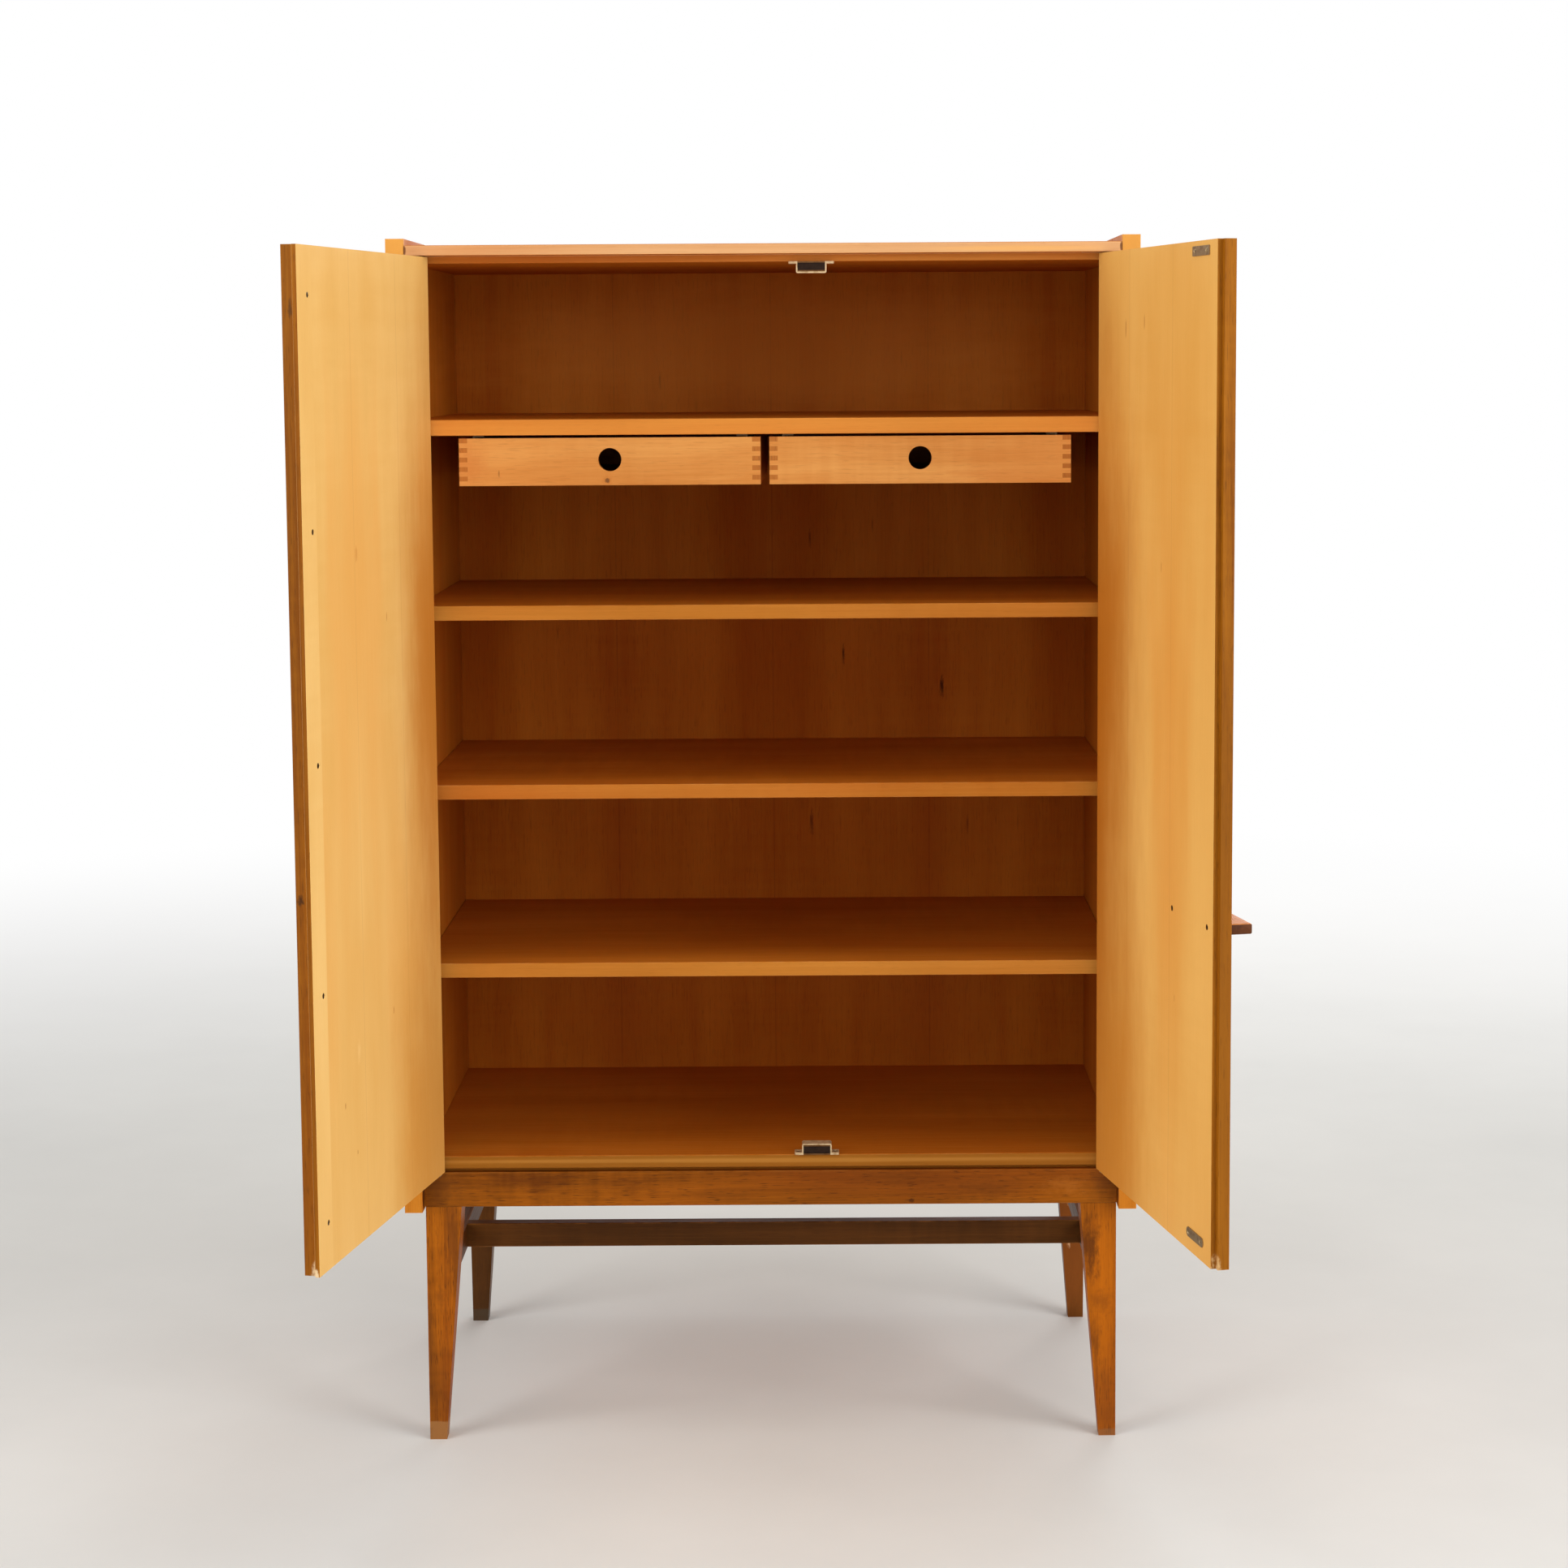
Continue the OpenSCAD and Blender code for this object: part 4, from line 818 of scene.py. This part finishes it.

# Base: stained beech, orange-brown on the legs, with painted shade: a darker brown on the faces under the
# carcass
baseValues = {
    "shine": 0.08, "polish": (0.34, 0.5), "wear": (0.0016, (196, 128, 60), 0.3), "bump": 0.3,
    "pieces": {
        "apron_front": ("apronBrown", "x", 41), "apron_rear": ("apronBrown", "x", 42),
        "side_rail_left": ("apronBrown", "y", 43), "side_rail_right": ("apronBrown", "y", 44),
        "leg_front_left": ("legBrown", "z", 45), "leg_front_right": ("legBrown", "z", 46),
        "leg_rear_left": ("legBrown", "z", 47), "leg_rear_right": ("legBrown", "z", 48),
        "stretcher_left": ("legBrown", "y", 49), "stretcher_right": ("legBrown", "y", 50),
        "stretcher_cross": ("legBrown", "x", 51),
    },
    "darkFaces": {  # painted shade: the faces that turn inwards, under the carcass, get a darker brown
        "leg_rear_left": (("y", -1), ("x", 1)), "leg_rear_right": (("y", -1), ("x", -1)),
        "stretcher_left": (("y", -1), ("x", 1), ("z", 1)),
        "stretcher_right": (("y", -1), ("x", -1), ("z", 1)),
        "stretcher_cross": (("y", -1), ("z", 1)),
    },
    "spots": {
        "apron_front": faceSpots(-0.2, 0.01, [
            (-0.262, 0.292, 0.075, 0.020, (92, 44, 8), 0.55, 0.7, 0.05),
            (-0.16, 0.288, 0.05, 0.016, (104, 52, 8), 0.4, 1.0, 0.05),
            (-0.37, 0.285, 0.045, 0.03, (100, 52, 12), 0.55, 0.8, 0.1),
            (-0.05, 0.274, 0.06, 0.012, (112, 58, 10), 0.35, 1.0, 0.05),
            (0.13, 0.295, 0.06, 0.012, (108, 56, 10), 0.35, 1.0, 0.05),
            (0.24, 0.280, 0.05, 0.018, (104, 54, 12), 0.4, 0.9, 0.05),
            (0.375, 0.285, 0.035, 0.03, (104, 56, 16), 0.5, 0.8, 0.1),
            (0.325, 0.284, 0.03, 0.014, (186, 110, 34), 0.4, 1.0, 0.05),
        ]) + [
            spot((0.155, -0.2, 0.268), (0.004, 0.003, 0.003), (70, 34, 10), 0.7),
        ],
        "leg_front_left": [
            spot((-0.375, -0.2, 0.05), (0.04, 0.03, 0.12), (98, 52, 14), 0.5, 0.5, 0.1),
        ] + faceSpots(-0.2, 0.02, [
            (-0.350, 0.22, 0.012, 0.09, (98, 50, 14), 0.65, 0.8, 0.2),
            (-0.392, 0.25, 0.012, 0.05, (108, 56, 12), 0.5, 0.8, 0.1),
            (-0.379, 0.12, 0.007, 0.09, (106, 56, 16), 0.5, 0.8, 0.2),
            (-0.366, 0.16, 0.008, 0.02, (110, 58, 14), 0.45, 1.0, 0.1),
        ]) + [
            spot((-0.372, -0.19, 0.002), (0.05, 0.05, 0.0205), (154, 106, 60), 0.8, 0.12, 0.86),
            spot((-0.382, -0.2, 0.009), (0.006, 0.02, 0.008), (104, 66, 34), 0.5, 1.0, 0.1),
        ],
        "leg_front_right": [
            spot((0.366, -0.2, 0.17), (0.03, 0.03, 0.13), (196, 104, 10), 0.55, 0.3, 0.2),
        ] + faceSpots(-0.2, 0.02, [
            (0.350, 0.212, 0.017, 0.045, (84, 42, 10), 0.8, 1.0, 0.15),
            (0.364, 0.152, 0.018, 0.018, (122, 62, 12), 0.5, 1.0, 0.1),
            (0.357, 0.105, 0.010, 0.034, (106, 54, 12), 0.6, 1.0, 0.1),
            (0.368, 0.062, 0.016, 0.030, (126, 66, 14), 0.45, 1.0, 0.1),
        ]) + [
            spot((0.366, -0.2, 0.02), (0.03, 0.03, 0.04), (110, 58, 16), 0.4, 0.6, 0.1),
            spot((0.383, -0.2, 0.266), (0.0012, 0.02, 0.018), (74, 38, 10), 0.7, 0.4, 0.3),
            spot((0.377, -0.19, 0.0), (0.05, 0.05, 0.009), (134, 90, 54), 0.6, 0.3, 0.7),
        ],
        "leg_rear_left": faceSpots(0.18, 0.06, [
            (-0.37, 0.03, 0.06, 0.09, (60, 40, 24), 0.5, 0.5, 0.2),
            (-0.37, 0.0, 0.06, 0.018, (78, 66, 52), 0.7, 0.2, 0.8),
        ]),
        "leg_rear_right": [
            spot((0.366, 0.18, 0.09), (0.06, 0.05, 0.17), (170, 92, 34), 0.45, 0.3, 0.3),
        ] + faceSpots(0.19, 0.05, [
            (0.3612, 0.153, 0.0026, 0.011, (220, 170, 120), 0.6, 0.7, 0.4),
            (0.3618, 0.099, 0.0026, 0.011, (230, 186, 140), 0.7, 0.7, 0.4),
        ]),
    },
}


def dressBase(values):
    for name, (finish, grain, seed) in values["pieces"].items():
        faces = values["darkFaces"].get(name, ())
        zones = [zone(axis, sign, "shadeBrown", grain) for axis, sign in faces]
        dressBoard(name, name, finish, grain, seed, zones, values["spots"].get(name, ()),
                   shine=values["shine"], polish=values["polish"], wear=values["wear"],
                   bump=values["bump"])


dressBase(baseValues)
print("base dressed")

# Metals: brushed or dull, with faint stains
metalFinishes = {
    "catchAluminium": {"tone": (208, 182, 142), "roughness": 0.52, "metallic": 0.5,
        "pieces": ("catch_bracket_top", "catch_bracket_bottom")},
    "poleSteel": {"tone": (112, 80, 50), "roughness": 0.5,
        "pieces": ("catch_pole_plates",)},
    "strikeSteel": {"tone": (162, 140, 104), "roughness": 0.42,
        "pieces": ("strike_plate_top", "strike_plate_bottom")},
    "railSteel": {"tone": (96, 80, 62), "roughness": 0.46,
        "pieces": ("rail_left_outer", "rail_left_inner",
                   "rail_right_inner", "rail_right_outer")},
    "hingeSteel": {"tone": (164, 158, 146), "roughness": 0.38,
        "pieces": ("hinge_left_top", "hinge_left_bottom",
                   "hinge_right_top", "hinge_right_bottom")},
    "railScrewSteel": {"tone": (132, 118, 96), "roughness": 0.4,
        "pieces": ("rail_screws",)},
    "pinSteel": {"tone": (176, 170, 158), "roughness": 0.34,
        "pieces": ("shelf_pins_upper", "shelf_pins_middle", "shelf_pins_lower")},
    "ferrite": {"tone": (44, 30, 22), "roughness": 0.6, "metallic": 0.0, "shine": 0.1,
        "brush": (300, 300, 300), "pieces": ("catch_magnet_top", "catch_magnet_bottom")},
    "brassySteel": {"tone": (176, 158, 120), "roughness": 0.36},
    "darkSteel": {"tone": (98, 84, 66), "roughness": 0.44},
}
metalLook = {
    "brush": (40, 900, 900), "brushDetail": 2.0, "brushSpan": (0.3, 0.7), "smoother": 0.08, "rougher": 0.1,
    "stains": ((180, 180, 180), 4.0), "stainSpan": (0.48, 0.72), "stainTint": (0.6, 0.5, 0.4),
    "relief": 0.12, "reliefDepth": 0.0002, "metallic": 1.0, "shine": 0.5,
}


def metalMaterial(name, values):
    look = {**metalLook, **values}
    material, tree, shader = newMaterial(name)
    vector = objectSpace(tree)[0]
    brushed = noise(tree, vector, look["brush"], look["brushDetail"])
    stains = remap(tree, noise(tree, vector, *look["stains"]), look["stainSpan"])
    base = tone(*look["tone"])
    dirty = tuple(base[k] * look["stainTint"][k] for k in range(3)) + (1.0,)
    tree.links.new(blendColour(tree, stains, base, dirty), shader.inputs["Base Color"])
    sheen = (look["roughness"] - look["smoother"], look["roughness"] + look["rougher"])
    tree.links.new(remap(tree, brushed, look["brushSpan"], sheen), shader.inputs["Roughness"])
    addRelief(tree, shader, brushed, look["relief"], look["reliefDepth"])
    shader.inputs["Metallic"].default_value = look["metallic"]
    shader.inputs["Specular IOR Level"].default_value = look["shine"]
    return material


metals = {name: metalMaterial(name, values) for name, values in metalFinishes.items()}
for name, values in metalFinishes.items():
    for piece in values.get("pieces", ()):
        dress(piece, metals[name])
print("metals dressed")

# Screws: turned blanks set in rows, each with its slot at its own angle
screwValues = {
    "headDiameter": 0.006, "headHeight": 0.0016, "shankDiameter": 0.003, "rimDrop": 0.00035,
    "dome": ((0.45, 0.1), (0.75, 0.32), (0.93, 0.7), (1.0, 1.3)),  # shares of the radius and the drop
    "tip": 0.35, "slotLength": 1.2, "slotWidth": 0.0008, "slotDepth": 0.0005,
    "segments": 28, "sharpAngle": 30, "seed": 5,
    "rows": {  # finish, length, door it turns with, places with the door closed, way the heads face
        "back_panel_screws": ("brassySteel", 0.012, None, [
            (side * 0.385, 0.211, z) for side in (-1, 1)
            for z in [0.3208 + 0.15444 * n for n in range(6)] + [1.146, 1.295]], (0, 1, 0)),
        "catch_screws": ("brassySteel", 0.012, None,
                         [(x, -0.1959, 0.3235) for x in (0.0307, 0.0713)], (0, 0, 1)),
        "catch_screws_top": ("brassySteel", 0.012, None,
                             [(x, -0.1959, 1.292) for x in (0.0307, 0.0713)], (0, 0, -1)),
        "closing_strip_screws": ("darkSteel", 0.012, "left_door",
                                 [(-0.02375, -0.2043, 0.3523 + 0.225425 * n) for n in range(5)], (0, 1, 0)),
        "handle_screws": ("darkSteel", 0.0277, "right_door",
                          [(x, -0.2043, 0.64) for x in (0.02378, 0.12672)], (0, 1, 0)),
        "strike_plate_screws": ("brassySteel", 0.012, "right_door",
                                [(x, -0.2033, z) for x in (0.034, 0.068) for z in (0.32425, 1.29125)],
                                (0, 1, 0)),
    },
    "nodes": {"catch_screws_top": "catch_screws"},  # rows that share another row's node
}


def turnedBlank(values, length):
    r, shank, drop = values["headDiameter"] / 2, values["shankDiameter"] / 2, values["rimDrop"]
    under, end = -values["headHeight"], -values["headHeight"] - length
    profile = [(r * out, -drop * down) for out, down in values["dome"]]
    profile += [(shank, under), (shank, end + shank), (shank * values["tip"], end)]
    shape = bmesh.new()
    turns = values["segments"]
    top, tip = shape.verts.new((0, 0, 0)), shape.verts.new((0, 0, end))
    angles = [2 * math.pi * k / turns for k in range(turns)]
    rings = [[shape.verts.new((radius * math.cos(a), radius * math.sin(a), z)) for a in angles]
             for radius, z in profile]
    for k in range(turns):
        m = (k + 1) % turns
        shape.faces.new((top, rings[0][k], rings[0][m]))
        shape.faces.new((tip, rings[-1][m], rings[-1][k]))
        for a, b in zip(rings, rings[1:]):
            shape.faces.new((a[k], b[k], b[m], a[m]))
    return placed("screwBlank", finishShape(shape, "screwBlank"))


def makeScrewTree():
    tree = bpy.data.node_groups.new("screwRow", "GeometryNodeTree")
    identifiers = {}
    for label, kind in (("Places", "Geometry"), ("Blank", "Object"), ("Slot Length", "Float"),
                        ("Slot Width", "Float"), ("Slot Depth", "Float"), ("Seed", "Int"),
                        ("Finish", "Material")):
        socket = tree.interface.new_socket(label, in_out="INPUT", socket_type="NodeSocket" + kind)
        identifiers[label] = socket.identifier
    tree.interface.new_socket("Screws", in_out="OUTPUT", socket_type="NodeSocketGeometry")
    given = tree.nodes.new("NodeGroupInput").outputs
    result = tree.nodes.new("NodeGroupOutput").inputs
    blank = put(tree, "GeometryNodeObjectInfo", {"Object": given["Blank"]}).outputs["Geometry"]
    cut = math2(tree, "MULTIPLY", given["Slot Depth"], 2.0)
    slotSize = joined(tree, given["Slot Length"], given["Slot Width"], cut)
    slot = put(tree, "GeometryNodeMeshCube", {"Size": slotSize}).outputs["Mesh"]
    screw = put(tree, "GeometryNodeMeshBoolean", {"Mesh 1": blank, "Mesh 2": slot}, operation="DIFFERENCE",
                solver="EXACT").outputs["Mesh"]
    facing = put(tree, "GeometryNodeInputNamedAttribute", {"Name": "facing"},
                 data_type="FLOAT_VECTOR").outputs[0]
    upright = put(tree, "FunctionNodeAlignRotationToVector", {"Vector": facing}, axis="Z").outputs[0]
    angle = put(tree, "FunctionNodeRandomValue", {2: 0.0, 3: math.pi, "Seed": given["Seed"]},
                data_type="FLOAT").outputs[1]
    turn = put(tree, "FunctionNodeAxisAngleToRotation", {"Axis": (0, 0, 1), "Angle": angle}).outputs[0]
    turned = put(tree, "FunctionNodeRotateRotation", {"Rotation": upright, "Rotate By": turn},
                 rotation_space="LOCAL").outputs[0]
    row = put(tree, "GeometryNodeInstanceOnPoints",
              {"Points": given["Places"], "Instance": screw, "Rotation": turned})
    real = put(tree, "GeometryNodeRealizeInstances", {"Geometry": row.outputs[0]})
    dressed = put(tree, "GeometryNodeSetMaterial",
                  {"Geometry": real.outputs[0], "Material": given["Finish"]})
    tree.links.new(dressed.outputs[0], result["Screws"])
    return tree, identifiers


def screwPlaces(places, facing, door):
    mesh = bpy.data.meshes.new("screwPlaces")
    if door:
        places = [(*swung(door, x, y), z) for x, y, z in places]
        facing = (*turned(door, *facing[:2]), facing[2])
    mesh.from_pydata(places, [], [])
    way = mesh.attributes.new("facing", "FLOAT_VECTOR", "POINT")
    for n in range(len(places)):
        way.data[n].vector = facing
    return placed("screwPlaces", mesh)


def makeScrews(values):
    tree, identifiers = makeScrewTree()
    faces = 0
    for n, (name, (finish, length, doorName, places, facing)) in enumerate(values["rows"].items()):
        blank = turnedBlank(values, length)
        row = screwPlaces(places, facing, doorValues.get(doorName))
        modifier = row.modifiers.new("screwRow", "NODES")
        modifier.node_group = tree
        inputs = {"Blank": blank, "Slot Length": values["headDiameter"] * values["slotLength"],
                  "Slot Width": values["slotWidth"], "Slot Depth": values["slotDepth"],
                  "Seed": values["seed"] + n, "Finish": metals[finish]}
        for label, value in inputs.items():
            modifier[identifiers[label]] = value
        seen = row.evaluated_get(bpy.context.evaluated_depsgraph_get())
        mesh = bpy.data.meshes.new_from_object(seen)
        easeNormals(mesh, values["sharpAngle"])
        screws = placed(name + "_turned", mesh)
        for piece in (blank, row):
            bpy.data.objects.remove(piece, do_unlink=True)
        node = values["nodes"].get(name, name)
        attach(screws, body_of(nodes[node])[0])
        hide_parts(node)
        faces += len(mesh.polygons)
    return faces


print("screws set,", makeScrews(screwValues), "faces")

# Stage: a pale floor that fades into the white surround
stageValues = {
    "tone": (226, 225, 221), "radius": 14.0, "fade": (1.0, 4.2), "roughness": 0.85,
    "mottle": ((1.6, 1.6, 1.6), 6.0, 0.6), "mottleSpan": (0.3, 0.7), "darker": 0.92,
}


def whereSeen(tree):
    path = put(tree, "ShaderNodeLightPath").outputs
    return math2(tree, "MAXIMUM", path["Is Camera Ray"],
                 math2(tree, "MAXIMUM", path["Is Glossy Ray"], path["Is Transmission Ray"]))


def makeFloor(values):
    r = values["radius"]
    mesh = bpy.data.meshes.new("floor")
    mesh.from_pydata([(-r, -r, 0), (r, -r, 0), (r, r, 0), (-r, r, 0)], [], [(0, 1, 2, 3)])
    floor = placed("floor", mesh)
    material, tree, shader = newMaterial("paleFloor")
    vector = objectSpace(tree)[0]
    mottle = remap(tree, noise(tree, vector, *values["mottle"]), values["mottleSpan"])
    base = tone(*values["tone"])
    darker = tuple(c * values["darker"] for c in base[:3]) + (1.0,)
    tree.links.new(blendColour(tree, mottle, base, darker), shader.inputs["Base Color"])
    shader.inputs["Roughness"].default_value = values["roughness"]
    fade = remap(tree, lengthOf(tree, vector), values["fade"], smooth=True)
    glow = put(tree, "ShaderNodeEmission", {"Color": (1, 1, 1, 1), "Strength": 1.0})
    mixed = put(tree, "ShaderNodeMixShader", {0: math2(tree, "MULTIPLY", fade, whereSeen(tree)),
                                              1: shader.outputs[0], 2: glow.outputs[0]})
    tree.links.new(mixed.outputs[0], tree.nodes["Material Output"].inputs["Surface"])
    mesh.materials.append(material)


makeFloor(stageValues)

# Light: two soft side lamps at the height of the doors, one overhead, a weak one in front, one behind
lightValues = {
    "surround": 0.32,
    "surroundTone": (1, 0.99, 0.97, 1),
    "lamps": {  # place, aim, size, watts
        "leftLamp": ((-3.0, -2.3, 1.7), (0.2, -0.3, 0.9), 2.2, 76),
        "rightLamp": ((3.0, -2.3, 1.7), (-0.2, -0.3, 0.9), 2.2, 92),
        "topLamp": ((0.2, -0.4, 4.2), (0.0, 0.0, 0.6), 2.6, 40),
        "frontLamp": ((0.2, -4.4, 1.9), (0.0, 0.0, 0.9), 2.6, 20),
        "rearLamp": ((0.8, 3.6, 2.0), (0.0, 0.2, 0.7), 2.6, 54),
    },
}


def makeLights(values):
    world = bpy.data.worlds.new("surround")
    bpy.context.scene.world = world
    world.use_nodes = True
    tree = world.node_tree
    tree.nodes.clear()
    soft = put(tree, "ShaderNodeBackground",
               {"Color": values["surroundTone"], "Strength": values["surround"]})
    white = put(tree, "ShaderNodeBackground", {"Color": (1, 1, 1, 1), "Strength": 1.0})
    mixed = put(tree, "ShaderNodeMixShader", {0: whereSeen(tree), 1: soft.outputs[0], 2: white.outputs[0]})
    output = put(tree, "ShaderNodeOutputWorld")
    tree.links.new(mixed.outputs[0], output.inputs["Surface"])
    for name, (place, aim, size, watts) in values["lamps"].items():
        data = bpy.data.lights.new(name, "AREA")
        data.size, data.energy = size, watts
        lamp = placed(name, data)
        lamp.location = place
        lamp.rotation_euler = (Vector(aim) - Vector(place)).to_track_quat("-Z", "Y").to_euler()


makeLights(lightValues)
print("stage and lights ready")
